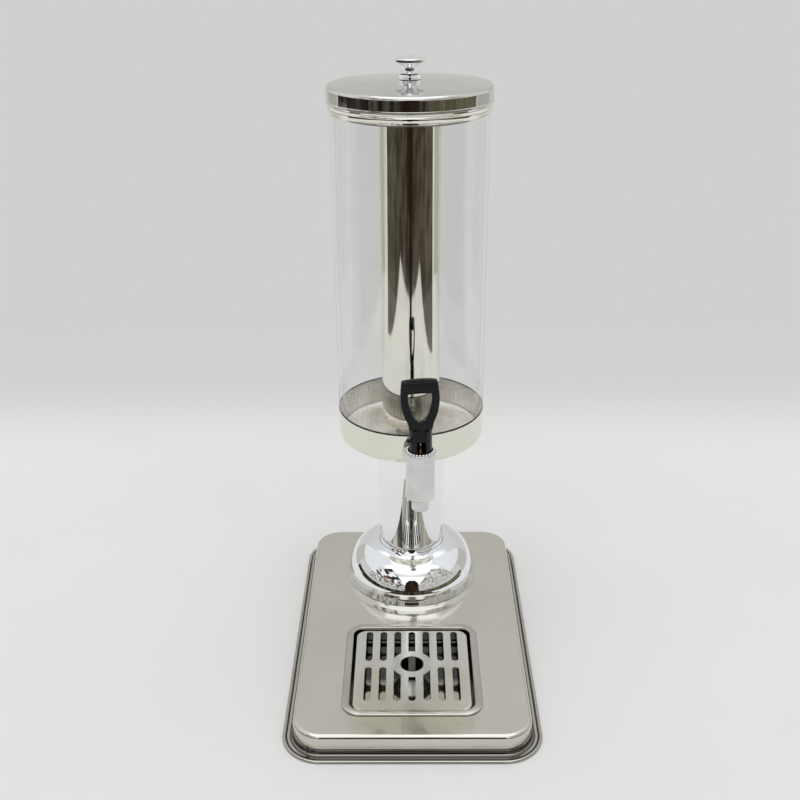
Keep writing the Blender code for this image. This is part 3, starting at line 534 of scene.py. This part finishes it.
def make_grille():
    top = 23.4 * MM
    half_x = 60.75 * MM
    front = -149.2 * MM
    back = -19.6 * MM

    def section(inset, z):
        return rounded_rectangle(half_x - inset, front + inset, back - inset, 11 * MM - inset, z)

    sections = []
    for step in range(7):
        turn = math.radians(90 - 90 * step / 6)
        sections.append(section(1.4 * MM - 1.4 * MM * math.cos(turn), top - 1.4 * MM + 1.4 * MM * math.sin(turn)))
    sections.append(section(0, 11.5 * MM))
    plate = apply(loft("grille_fine", sections, 0.95 * MM, True))
    land = lathe("land", [(0, 1), (LAND_RADIUS, 1), (LAND_RADIUS, -1), (0, -1)],
                 Matrix.Translation((0, HOLE_Y, 0)), 96, False)
    slots = []
    for column in range(-3, 4):
        x = column * SLOT_PITCH
        for low, high in ((SLOT_FRONT, HOLE_Y - SLOT_BAR / 2), (HOLE_Y + SLOT_BAR / 2, SLOT_BACK)):
            outline = (arc(x, high - SLOT_HALF, SLOT_HALF, 0, 180, 14)
                       + arc(x, low + SLOT_HALF, SLOT_HALF, 180, 360, 14))
            slots.append(prism("slot", outline, top - 4 * MM, top + 4 * MM))
    cutter = join(slots[0], *slots[1:])
    boolean(cutter, land, "DIFFERENCE")
    boolean(plate, cutter, "DIFFERENCE")
    hole = lathe("hole", [(0, 1), (HOLE_RADIUS, 1), (HOLE_RADIUS, top - 4 * MM), (0, top - 4 * MM)],
                 Matrix.Translation((0, HOLE_Y, 0)), 72, False)
    boolean(plate, hole, "DIFFERENCE")
    soften(plate, 0.28 * MM, 2)
    for x in (-1, 1):
        for y in (front + 20 * MM, back - 20 * MM):
            inner = x * (half_x - 0.9 * MM)
            outer = x * half_x
            join(plate, box("leg", (min(inner, outer), y - 5 * MM, 7.3 * MM),
                            (max(inner, outer), y + 5 * MM, 12.5 * MM), None, 0.2 * MM))
    piece(plate, "drip_grille", GRILLE_LOOK, "satin_steel", "drip_grille")


# ---------------------------------------------------------------- column
def make_column():
    neck = 38.2 * MM
    reach = 36.5 * MM
    drop = 32.7 * MM
    wall = 1.2 * MM
    # Part of an ellipse, which still slopes where it meets the skirt.
    cosine = 1 / (math.tan(math.radians(75)) * reach / drop - 1)
    end = math.acos(cosine)
    wide = reach / math.sin(end)
    tall = drop / (1 - cosine)
    outer = []
    inner = []
    for step in range(49):
        turn = end * step / 48
        x = wide * math.sin(turn)
        z = 71 * MM - tall * (1 - math.cos(turn))
        across = Vector((math.sin(turn) / wide, math.cos(turn) / tall)).normalized() * wall
        outer.append((neck + x, z))
        inner.append((neck + x - across.x, z - across.y))
    outer.pop()
    foot_z = 24.3 * MM
    skirt = rounded([
        outer[-1], (neck + reach + 0.1 * MM, 38.2 * MM, 1.2 * MM), (74.4 * MM, 36.2 * MM, 1 * MM),
        (74.5 * MM, 32 * MM, 4 * MM), (75.4 * MM, 28 * MM, 4 * MM), (76 * MM, foot_z + 0.5 * MM, 0.3 * MM),
        (76 * MM, foot_z, 0.2 * MM), (74.9 * MM, foot_z), (73.2 * MM, 30 * MM),
    ], 6, False)[1:]
    inner = [point for point in inner if point[1] > 39.5 * MM]
    inner.reverse()
    foot = lathe("column_foot_fine", outer + skirt + inner, COLUMN, 192)
    piece(foot, "stand", CHROME, "chrome", "column_foot")
    tube = lathe("column_tube_fine", rounded([
        (36.7 * MM, 211.1 * MM), (37.9 * MM, 211.1 * MM, 0.3 * MM), (37.9 * MM, foot_z), (36.7 * MM, foot_z),
    ]), COLUMN, 160)
    piece(tube, "stand", CHROME, "polished_steel", "column_tube")


# ---------------------------------------------------------------- tank
def make_tank():
    pan_outline = rounded([
        (79.5 * MM, 244.9 * MM, 0.3 * MM), (80.5 * MM, 244.9 * MM, 0.4 * MM), (80.5 * MM, 211.4 * MM, 6 * MM),
        (4.3 * MM, 211.4 * MM), (4.3 * MM, 212.6 * MM), (79.5 * MM, 212.6 * MM, 6 * MM),
    ], 8)
    pan = lathe("tank_pan_fine", pan_outline, TANK, 192)
    hole = lathe("hole", [(0, 0.100), (8.3 * MM, 0.100), (8.3 * MM, 0.060), (0, 0.060)],
                 TANK @ Matrix.Translation((0, 0, TAP_BARREL_Z)) @ LENGTHWISE, 32, False)
    boolean(pan, hole, "DIFFERENCE")
    piece(pan, "stand", [BAND, BRUSHED_IN], "polished_steel", "tank_pan")
    for face in pan.data.polygons:
        middle = TANK.inverted() @ face.center
        inside = middle.xy.length < 79.8 * MM and middle.z > 212 * MM
        face.material_index = 1 if inside else 0

    seal = lathe("tank_seal_fine", rounded([
        (79.3 * MM, 245.2 * MM, 0.3 * MM), (79.3 * MM, 246.3 * MM, 0.3 * MM), (80.75 * MM, 246.3 * MM, 0.3 * MM),
        (80.75 * MM, 245.2 * MM, 0.3 * MM),
    ], 3), TANK, 192)
    piece(seal, "stand", RUBBER, "black_rubber", "tank_seal")

    cylinder = lathe("tank_cylinder_fine", rounded([
        (76 * MM, 574.5 * MM, 0.4 * MM), (80.5 * MM, 574.5 * MM, 0.4 * MM), (80.5 * MM, 246.6 * MM, 0.3 * MM),
        (79 * MM, 246.6 * MM), (79 * MM, 241.5 * MM, 0.3 * MM), (76 * MM, 241.5 * MM, 0.3 * MM),
    ], 3), TANK, 240)
    piece(cylinder, "stand", CLEAR, "clear_plastic", "tank_cylinder")

    trim = lathe("trim_ring_fine", rounded([
        (75 * MM, 577.8 * MM), (75.7 * MM, 578.4 * MM, 0.4 * MM), (81.8 * MM, 578.4 * MM, 0.6 * MM),
        *arc(78.4 * MM, 573.5 * MM, 4.3 * MM, 48, -46, 14), (81.6 * MM, 569 * MM, 0.2 * MM),
        (81.5 * MM, 568.3 * MM, 0.3 * MM), (80.8 * MM, 568.3 * MM), (80.8 * MM, 574.8 * MM), (75.7 * MM, 574.8 * MM),
        (75.7 * MM, 572.5 * MM), (75 * MM, 572.5 * MM),
    ], 6), TANK, 192)
    piece(trim, "stand", POLISHED, "polished_steel", "tank_trim_ring")

    tube = lathe("ice_tube_fine", rounded([
        (30.8 * MM, 566 * MM, 0.3 * MM), (31.8 * MM, 566 * MM, 0.4 * MM), (31.8 * MM, 228 * MM, 0.5 * MM),
        (30.8 * MM, 228 * MM),
    ], 3), TANK, 160)
    piece(tube, "stand", TUBE_LOOK, "polished_steel", "ice_tube")
    base = lathe("ice_tube_base_fine", rounded([
        (0, 231 * MM), (30.5 * MM, 231 * MM, 0.5 * MM), (30.5 * MM, 228 * MM, 0.5 * MM), (0, 228 * MM),
    ], 4, False), TANK, 96, False)
    piece(base, "stand", POLISHED, "polished_steel", "ice_tube_base")
    hub = lathe("ice_tube_hub_fine", rounded([
        (0, 227.7 * MM), (15 * MM, 227.7 * MM, 0.8 * MM), (15 * MM, 214.7 * MM, 0.8 * MM), (0, 214.7 * MM),
    ], 4, False), TANK, 96, False)
    piece(hub, "stand", STEEL, "plain_steel", "ice_tube_hub")
    gasket = lathe("hub_gasket_fine", rounded([
        (4.3 * MM, 214.4 * MM, 0.3 * MM), (17 * MM, 214.4 * MM, 0.5 * MM), (17 * MM, 212.9 * MM, 0.3 * MM),
        (4.3 * MM, 212.9 * MM),
    ], 4), TANK, 96)
    piece(gasket, "stand", SILICONE, "white_silicone", "hub_gasket")


# ---------------------------------------------------------------- lid
def make_lid():
    side = 80.1 * MM
    edge = 3.6 * MM
    radius = 83.7 * MM
    shoulder = 594.6 * MM
    bottom = 579.2 * MM

    def crown(r, level):
        return level + 4.4 * MM * (1 - (r / side) ** 2)

    span = [2.7 * MM + (side - 2.7 * MM) * step / 30 for step in range(30)]
    outline = [(r, crown(r, shoulder)) for r in span]
    outline += arc(side, shoulder - edge, edge, 90, 0, 10)
    outline += rounded([(radius, bottom + 6 * MM), (radius, bottom + 1.7 * MM, 0.5 * MM),
                        (radius + 0.35 * MM, bottom + 1.1 * MM, 0.5 * MM), (radius + 0.35 * MM, bottom, 0.35 * MM),
                        (radius - SHEET, bottom)], 4, False)
    outline += arc(side, shoulder - edge, edge - SHEET, 0, 90, 8)
    outline += [(r, crown(r, shoulder - SHEET)) for r in reversed(span)]
    lid = lathe("lid_shell_fine", outline, TANK, 192)
    piece(lid, "lid", LID_LOOK, "polished_steel", "lid_shell")

    base_z = 599.3 * MM
    top_z = 620.5 * MM
    knob = lathe("lid_knob_fine", rounded([
        (0, top_z), (11 * MM, top_z - 0.35 * MM, 8 * MM), (15.3 * MM, top_z - 1.8 * MM, 1.1 * MM),
        (15.3 * MM, top_z - 5.2 * MM, 1 * MM), (10.6 * MM, top_z - 6.9 * MM, 3 * MM),
        (6.6 * MM, top_z - 9 * MM, 1.5 * MM), (5.1 * MM, top_z - 10.4 * MM, 1 * MM),
        (5.1 * MM, base_z + 7.2 * MM, 0.6 * MM), (11.2 * MM, base_z + 6.5 * MM, 0.8 * MM),
        (11.2 * MM, base_z + 3.2 * MM, 0.2 * MM), (11.6 * MM, base_z + 2.8 * MM, 0.3 * MM),
        (11.6 * MM, base_z, 0.3 * MM), (0, base_z),
    ], 8, False), TANK, 96, False)
    piece(knob, "lid", CHROME, "chrome", "lid_knob")


# ---------------------------------------------------------------- tap
def make_tap():
    body = lathe("tap_body_fine", rounded([
        (0, 245 * MM), (16.1 * MM, 245 * MM, 1.2 * MM), (16.1 * MM, 237.4 * MM, 0.5 * MM),
        (15.2 * MM, 236.9 * MM, 0.2 * MM), (15.2 * MM, 190.2 * MM, 1.8 * MM), (0, 190.2 * MM),
    ], 6, False), TAP, 96, False)
    barrel = lathe("barrel", rounded([
        (0, TAP_REACH), (11 * MM, TAP_REACH), (11 * MM, 88.2 * MM, 2 * MM), (16.8 * MM, 86.7 * MM, 0.8 * MM),
        (16.8 * MM, 83.7 * MM, 0.6 * MM), (8 * MM, 83.7 * MM), (8 * MM, 66 * MM, 0.6 * MM), (0, 66 * MM),
    ], 4, False), TANK @ Matrix.Translation((0, 0, TAP_BARREL_Z)) @ LENGTHWISE, 64, False)
    boolean(body, barrel, "UNION")
    chamber = lathe("chamber", [(0, 260 * MM), (12.3 * MM, 260 * MM), (12.3 * MM, 198.2 * MM), (0, 198.2 * MM)],
                    TAP, 64, False)
    boolean(body, chamber, "DIFFERENCE")
    outlet = lathe("outlet", [(0, 200 * MM), (6 * MM, 200 * MM), (6 * MM, 180 * MM), (0, 180 * MM)], TAP, 48, False)
    boolean(body, outlet, "DIFFERENCE")
    piece(body, "stand", TAP_CHROME, "chrome", "tap_body")

    spout = lathe("tap_spout_fine", rounded([
        (5.6 * MM, 196.2 * MM), (5.6 * MM, 189.9 * MM), (9.2 * MM, 189.9 * MM), (9.2 * MM, 176 * MM, 0.8 * MM),
        (7.4 * MM, 176 * MM, 0.5 * MM), (7 * MM, 186.9 * MM, 1 * MM), (4.4 * MM, 187.9 * MM), (4.4 * MM, 196.2 * MM),
    ], 4), TAP, 72)
    piece(spout, "stand", TAP_CHROME, "chrome", "tap_spout")

    washer = lathe("tap_outer_washer_fine", rounded([
        (8.3 * MM, 77.5 * MM), (8.3 * MM, 83.4 * MM), (15.6 * MM, 83.4 * MM, 0.5 * MM), (15.6 * MM, 77.5 * MM),
    ], 3), TANK @ Matrix.Translation((0, 0, TAP_BARREL_Z)) @ LENGTHWISE, 72)
    inside = lathe("pan_outside", [(0, 300 * MM), (80.8 * MM, 300 * MM), (80.8 * MM, 150 * MM), (0, 150 * MM)],
                   TANK, 192, False)
    boolean(washer, inside, "DIFFERENCE")
    piece(washer, "stand", RUBBER, "black_rubber", "tap_outer_washer")

    bonnet = lathe("tap_bonnet_fine", rounded([
        (0, 272 * MM), (12 * MM, 272 * MM, 1.1 * MM), (12 * MM, 236 * MM), (9.6 * MM, 236 * MM), (9.6 * MM, 269 * MM),
        (0, 269 * MM),
    ], 5, False), TAP, 96, False)
    pin = lathe("lever_pin_fine", [(0, 6.8 * MM), (1.5 * MM, 6.8 * MM), (1.5 * MM, -6.8 * MM), (0, -6.8 * MM)],
                TAP @ Matrix.Translation((0, -PIN_FORWARD, PIN_Z)) @ Matrix.Rotation(math.radians(90), 4, "Y"),
                32, False)
    piece(pin, "stand", STEEL, "plain_steel", "lever_pin")
    beads = bmesh.new()
    count = 26
    for index in range(count):
        angle = TAU * index / count
        around = Matrix.Rotation(angle, 4, "Z") @ Matrix.Translation((13.75 * MM, 0, 245.4 * MM))
        bmesh.ops.create_icosphere(beads, subdivisions=3, radius=1.45 * MM, matrix=around)
    piece(mesh_object("tap_beads", beads, TAP), "stand", CHROME, "chrome")
    cutter = box("slot", (-4.5 * MM, -14 * MM, 246.5 * MM), (4.5 * MM, 3.6 * MM, 280 * MM), TAP)
    boolean(bonnet, cutter, "DIFFERENCE")
    piece(bonnet, "stand", BLACK, "black_plastic", "tap_bonnet")


def curve_through(points, steps=8):
    """A smooth line through the points, as Catmull-Rom segments."""
    made = []
    for i in range(len(points) - 1):
        p0 = Vector(points[max(i - 1, 0)])
        p1 = Vector(points[i])
        p2 = Vector(points[i + 1])
        p3 = Vector(points[min(i + 2, len(points) - 1)])
        for step in range(steps):
            t = step / steps
            at = 0.5 * (2 * p1 + (p2 - p0) * t + (2 * p0 - 5 * p1 + 4 * p2 - p3) * t * t
                        + (3 * p1 - p0 - 3 * p2 + p3) * t * t * t)
            made.append((at.x, at.y))
    return made + [tuple(points[-1])]


def mirrored(half):
    return half + [(-x, z) for x, z in reversed(half) if x > 1e-6]


def bar(name, points, radius, matrix):
    """A round bar through points, its ends rounded."""
    shape = bmesh.new()
    sides = 20
    loops = []
    count = len(points)
    for index, (x, z) in enumerate(points):
        for cap in ((-60, -30) if index == 0 else ()):
            turn = math.radians(cap)
            loops.append((x + radius * math.sin(turn) * (-1 if points[-1][0] < x else 1), z, radius * math.cos(turn)))
        loops.append((x, z, radius))
        for cap in ((30, 60) if index == count - 1 else ()):
            turn = math.radians(cap)
            loops.append((x + radius * math.sin(turn) * (-1 if points[0][0] > x else 1), z, radius * math.cos(turn)))
    rings = []
    spokes = [(math.cos(TAU * i / sides), math.sin(TAU * i / sides)) for i in range(sides)]
    for x, z, size in loops:
        rings.append([shape.verts.new((x, size * cosine, z + size * sine)) for cosine, sine in spokes])
    for one, two in zip(rings, rings[1:]):
        for i in range(sides):
            j = (i + 1) % sides
            shape.faces.new((one[i], one[j], two[j], two[i]))
    shape.faces.new(rings[0])
    shape.faces.new(rings[-1])
    return mesh_object(name, shape, matrix)


def make_lever():
    hinge = TANK @ Matrix.Translation((0, -TAP_REACH - PIN_FORWARD, PIN_Z))
    # It sits a little crooked on its pin.
    hinge = hinge @ Matrix.Rotation(math.radians(-1.5), 4, "Y")
    top = 66.8 * MM
    grip = [(0, top + 1 * MM), (6 * MM, top + 0.9 * MM), (12 * MM, top + 0.5 * MM), (16.6 * MM, top - 0.2 * MM),
            (17.7 * MM, top - 0.7 * MM), (18.3 * MM, top - 1.9 * MM)]
    side = curve_through([(18.3 * MM, top - 1.9 * MM), (19.7 * MM, top - 20 * MM), (17.6 * MM, top - 35 * MM),
                          (13.6 * MM, top - 45.5 * MM), (11.7 * MM, 12.8 * MM)])
    outside = mirrored(grip + side[1:])
    window = [(0, top - 13.4 * MM), (10.4 * MM, top - 13.7 * MM), (11.7 * MM, top - 14.1 * MM),
              (12.1 * MM, top - 15.4 * MM)]
    window_side = curve_through([(12.1 * MM, top - 15.4 * MM), (11.7 * MM, top - 24 * MM), (8.6 * MM, top - 36 * MM),
                                 (3.4 * MM, top - 44.2 * MM), (0, top - 45.8 * MM)], 6)
    inside = mirrored(window + window_side[1:])
    upright = hinge @ Matrix.Rotation(math.radians(90), 4, "X")
    lever = prism("tap_lever_fine", outside, -3.2 * MM, 3.2 * MM, upright)
    boolean(lever, prism("window", inside, -6 * MM, 6 * MM, upright), "DIFFERENCE")
    soften(lever, 1.3 * MM, 4)
    ridges = [
        ([(-16 * MM, top - 3.4 * MM), (-8 * MM, top - 2.8 * MM), (0, top - 2.6 * MM), (8 * MM, top - 2.8 * MM),
          (16 * MM, top - 3.4 * MM)], 2.5 * MM, 2.2 * MM),
        ([(-13.4 * MM, top - 11.3 * MM), (0, top - 10.7 * MM), (13.4 * MM, top - 11.3 * MM)], 1.5 * MM, 2.5 * MM),
        ([(-9 * MM, 15.2 * MM), (0, 14.8 * MM), (9 * MM, 15.2 * MM)], 2.3 * MM, 2.4 * MM),
    ]
    for points, radius, forward in ridges:
        line = curve_through(points, 4)
        boolean(lever, bar("ridge", line, radius, hinge @ Matrix.Translation((0, -forward, 0))), "UNION", 35)
    half = 4.2 * MM
    boolean(lever, box("shank", (-half, -3.2 * MM, -1 * MM), (half, 3.2 * MM, 16 * MM), hinge), "UNION", 35)
    eye = lathe("eye", [(0, half), (3.2 * MM, half), (3.2 * MM, -half), (0, -half)],
                hinge @ Matrix.Rotation(math.radians(90), 4, "Y"), 40, False)
    boolean(lever, eye, "UNION", 35)
    for sign in (-1, 1):
        low_x = min(sign * 2.6 * MM, sign * half)
        high_x = max(sign * 2.6 * MM, sign * half)
        prong = box("prong", (low_x, 0, -1.5 * MM), (high_x, PIN_FORWARD + 0.9 * MM, 1 * MM), hinge)
        boolean(lever, prong, "UNION", 35)
    bore = lathe("bore", [(0, 15 * MM), (1.8 * MM, 15 * MM), (1.8 * MM, -15 * MM), (0, -15 * MM)],
                 hinge @ Matrix.Rotation(math.radians(90), 4, "Y"), 32, False)
    boolean(lever, bore, "DIFFERENCE", 35)
    piece(lever, "tap_lever", BLACK, "black_plastic", "tap_lever")


def make_valve():
    stem = lathe("valve_stem_fine", rounded([
        (0, 263.6 * MM), (3.2 * MM, 263.6 * MM, 0.5 * MM), (3.2 * MM, 261.8 * MM, 0.3 * MM), (2 * MM, 261.8 * MM),
        (2 * MM, 211.5 * MM), (5 * MM, 211.5 * MM, 0.2 * MM), (5 * MM, 210.5 * MM), (2 * MM, 210.5 * MM),
        (2 * MM, 201.5 * MM), (0, 201.5 * MM),
    ], 4, False), TAP, 48, False)
    piece(stem, "tap_valve", BRASS, "brass", "valve_stem")


make_base()
make_drip_pan()
make_grille()
make_column()
make_tank()
make_lid()
make_tap()
make_lever()
make_valve()

# The CAD nodes that stay visible get their slot's look.
LOOKS = {
    "satin_steel": SATIN, "polished_steel": POLISHED, "chrome": CHROME, "clear_plastic": CLEAR,
    "black_plastic": BLACK, "black_rubber": RUBBER, "white_silicone": SILICONE, "plain_steel": STEEL,
    "brass": BRASS,
}
for part in frame["record"]["subparts"]:
    node = frame["nodes"][part["node"]]
    if not node.hide_render:
        node.data.materials.clear()
        node.data.materials.append(LOOKS[part["material_slot"]])

# ---------------------------------------------------------------- studio
CAMERA_AT = (-0.0011, -0.98121, 0.75273)
CAMERA_YAW = math.radians(0.5898)
CAMERA_PITCH = math.radians(24.9283)
CAMERA_ROLL = math.radians(-0.4637)
SENSOR_WIDTH = 36
IMAGE_WIDTH = 800
FOCAL_LENGTH = 1061.117  # in units of the image's width in dots
camera_data = bpy.data.cameras.new("camera")
camera_data.sensor_width = SENSOR_WIDTH
camera_data.lens = SENSOR_WIDTH * FOCAL_LENGTH / IMAGE_WIDTH
camera = bpy.data.objects.new("camera", camera_data)
bpy.context.scene.collection.objects.link(camera)
turn = (Matrix.Rotation(CAMERA_YAW, 4, "Z") @ Matrix.Rotation(math.radians(90) - CAMERA_PITCH, 4, "X")
        @ Matrix.Rotation(CAMERA_ROLL, 4, "Z"))
camera.matrix_world = Matrix.Translation(CAMERA_AT) @ turn
bpy.context.scene.camera = camera
bpy.context.scene.view_settings.view_transform = "Standard"
bpy.context.scene.view_settings.look = "None"


def stage_card(name, shape, look, reflected_only=True):
    """Puts a card in the studio; most are seen only in reflections."""
    mesh = bpy.data.meshes.new(name)
    shape.to_mesh(mesh)
    shape.free()
    obj = bpy.data.objects.new(name, mesh)
    bpy.context.scene.collection.objects.link(obj)
    obj.data.materials.append(look)
    if reflected_only:
        obj.visible_camera = False
        obj.visible_diffuse = False
        obj.visible_shadow = False


def stage_sheet(name, corners, look, reflected_only=True):
    """A flat card with the given corners."""
    shape = bmesh.new()
    shape.faces.new([shape.verts.new(corner) for corner in corners])
    stage_card(name, shape, look, reflected_only)


def level_sheet(name, left, right, front, back, z, look, reflected_only=True):
    """A level rectangular card."""
    stage_sheet(name, [(left, front, z), (right, front, z), (right, back, z), (left, back, z)], look, reflected_only)


def glow(name, colour, strength, second=None, stretch=(1, 1, 1), scale=3.0, at=(0.4, 0.6), detail=4.0):
    """A plain card that shines; with a second colour it is mottled."""
    made = bpy.data.materials.new(name)
    made.use_nodes = True
    tree = made.node_tree
    tree.nodes.clear()
    shine = add(tree, "ShaderNodeEmission", {"Color": (*colour, 1), "Strength": strength})
    if second:
        pattern = noise(tree, scale, detail, stretch)
        tree.links.new(tint(tree, pattern, colour, second, at), shine.inputs["Color"])
    out = add(tree, "ShaderNodeOutputMaterial")
    tree.links.new(shine.outputs[0], out.inputs["Surface"])
    return made


def floor_with_painted_shade_look():
    made, tree, shader = new_material("floor_with_painted_shade_look")
    where = add(tree, "ShaderNodeTexCoord")
    split = add(tree, "ShaderNodeSeparateXYZ", {0: where.outputs["Object"]})
    ramp = add(tree, "ShaderNodeMapRange", {
        "Value": split.outputs[1], "From Min": 0.40, "From Max": 0.78, "To Min": 0.0, "To Max": 1.0},
        interpolation_type="SMOOTHERSTEP")
    # Painted shade: the far floor is darker, standing in for the shaded rise of the backdrop sweep; the near floor's
    # mottling is the paper's own.
    far = tint(tree, split.outputs[1], (0.70, 0.70, 0.688), (0.655, 0.655, 0.64), (0.0, 1.0))
    near = tint(tree, noise(tree, 4, 5), (0.80, 0.797, 0.782), (0.822, 0.82, 0.805))
    both = add(tree, "ShaderNodeMix", {"Factor": ramp.outputs[0], "A": near, "B": far}, data_type="RGBA")
    tree.links.new(both.outputs[2], shader.inputs["Base Color"])
    shader.inputs["Roughness"].default_value = 0.9
    shader.inputs["Specular IOR Level"].default_value = 0.1
    return made


FLOOR_HALF = 30
level_sheet("studio_floor", -FLOOR_HALF, FLOOR_HALF, -FLOOR_HALF, FLOOR_HALF, 0, floor_with_painted_shade_look(), False)

# The room in front of the white sweep, seen only in reflections.
PAPER_FRONT = -1.0
PAPER_LEFT = -0.87
PAPER_RIGHT = 0.78
ROOM_FLOOR = glow("room_floor", (0.035, 0.028, 0.022), 1.0, (0.10, 0.085, 0.065), scale=2.0)
ROOM_HALF = 6
ROOM_FLOOR_Z = 0.004
level_sheet("room_floor_front", -ROOM_HALF, ROOM_HALF, -ROOM_HALF, PAPER_FRONT, ROOM_FLOOR_Z, ROOM_FLOOR)
level_sheet("room_floor_right", PAPER_RIGHT, ROOM_HALF, PAPER_FRONT, 0.15, ROOM_FLOOR_Z, ROOM_FLOOR)
level_sheet("room_floor_left", -ROOM_HALF, PAPER_LEFT, PAPER_FRONT, 0.25, ROOM_FLOOR_Z, ROOM_FLOOR)


def room_wall(name, start, end, radius, low, high, look, steps=16):
    """A curved card round the object, from one azimuth to another, counted from the front to the right."""
    shape = bmesh.new()
    rows = []
    for step in range(steps + 1):
        angle = math.radians(start + (end - start) * step / steps)
        x = radius * math.sin(angle)
        y = COLUMN_Y - radius * math.cos(angle)
        rows.append((shape.verts.new((x, y, low)), shape.verts.new((x, y, high))))
    for one, two in zip(rows, rows[1:]):
        shape.faces.new((one[0], two[0], two[1], one[1]))
    stage_card(name, shape, look)


ROOM_RADIUS = 3.4
WING_RADIUS = 1.25
DARK_WALL = glow("room_dark", (0.012, 0.011, 0.009), 1.0, (0.12, 0.105, 0.08), (1, 1, 0.10), 2.2, (0.40, 0.66), 6)
OLIVE_WALL = glow("room_olive", (0.10, 0.092, 0.06), 1.0, (0.17, 0.155, 0.10), (1, 1, 0.5), 2.5)
LEFT_WALL = glow("room_left", (0.02, 0.016, 0.012), 1.0, (0.07, 0.06, 0.045), (1, 1, 0.15), 3.0, (0.45, 0.7), 5)
room_wall("room_middle", -62, 26, ROOM_RADIUS, -0.1, 0.34, DARK_WALL)
room_wall("room_right", 26, 99, ROOM_RADIUS, -0.1, 0.40, OLIVE_WALL)
room_wall("room_left", -112, -62, ROOM_RADIUS, -0.1, 0.40, LEFT_WALL)
WING = glow("wing", (0.50, 0.49, 0.455), 1.0)
room_wall("wing_right", 100, 132, WING_RADIUS, -0.02, 0.55, WING)
room_wall("wing_left", -140, -113, WING_RADIUS, -0.02, 0.55, WING)
WING_HIGH = glow("wing_high", (0.78, 0.79, 0.81), 1.0)
room_wall("wing_right_high", 76, 132, WING_RADIUS, 0.56, 3.0, WING_HIGH)
room_wall("wing_left_high", -140, -76, WING_RADIUS, 0.56, 3.0, WING_HIGH)

# The room's ceiling, white down its middle, with one small lamp; and a dark figure and a tripod in front.
CEILING = glow("ceiling", (0.93, 0.95, 0.98), 1.3)
ROOF = glow("roof", (0.03, 0.03, 0.024), 1.0, (0.95, 0.95, 0.92), (1, 0.5, 1), 1.5, (0.47, 0.55), 8)
ROOF_RIGHT = glow("roof_right", (0.20, 0.20, 0.17), 1.0, (0.78, 0.78, 0.74), (1, 0.5, 1), 3.0, (0.40, 0.60), 8)
ROOF_LAMP = glow("roof_lamp", (1.0, 0.34, 0.16), 0.9)
CEILING_Z = 2.6
CEILING_HALF = 1.5
ROOF_Z = CEILING_Z + 0.01
level_sheet("ceiling_middle", -CEILING_HALF, CEILING_HALF, -24, -2.6, CEILING_Z, CEILING)
level_sheet("ceiling_left", -14, -CEILING_HALF, -26, -0.9, ROOF_Z, ROOF)
level_sheet("ceiling_right", CEILING_HALF, 14, -26, -0.9, ROOF_Z, ROOF_RIGHT)
level_sheet("ceiling_lamp", -4.4, -3.8, -4.0, -3.2, CEILING_Z - 0.01, ROOF_LAMP)
COAT = glow("coat", (0.012, 0.008, 0.006), 1.0, (0.035, 0.02, 0.014))
stage_sheet("operator", [(-0.30, -1.3, 0.1), (0.30, -1.3, 0.1), (0.30, -1.3, 0.70), (0.16, -1.3, 0.92),
                         (-0.10, -1.3, 0.92), (-0.26, -1.3, 0.70)], COAT)
stage_sheet("tripod", [(-0.045, -0.66, 0.0), (0.045, -0.66, 0.0), (0.06, -0.97, 0.70), (-0.06, -0.97, 0.70)], COAT)


def make_world():
    world = bpy.data.worlds.new("studio")
    bpy.context.scene.world = world
    world.use_nodes = True
    tree = world.node_tree
    background = tree.nodes["Background"]
    where = add(tree, "ShaderNodeTexCoord")
    split = add(tree, "ShaderNodeSeparateXYZ", {0: where.outputs["Generated"]})
    ramp = add(tree, "ShaderNodeValToRGB", {"Fac": split.outputs[2]})
    ramp.color_ramp.elements[0].position = 0.0
    ramp.color_ramp.elements[0].color = (0.60, 0.60, 0.585, 1)
    ramp.color_ramp.elements[1].position = 1.0
    ramp.color_ramp.elements[1].color = (1.5, 1.51, 1.53, 1)
    for position, colour in ((0.40, (0.60, 0.60, 0.59, 1)), (0.70, (0.67, 0.675, 0.675, 1)),
                             (0.86, (1.45, 1.46, 1.48, 1))):
        ramp.color_ramp.elements.new(position).color = colour
    tree.links.new(ramp.outputs[0], background.inputs["Color"])
    background.inputs["Strength"].default_value = 1.0


make_world()
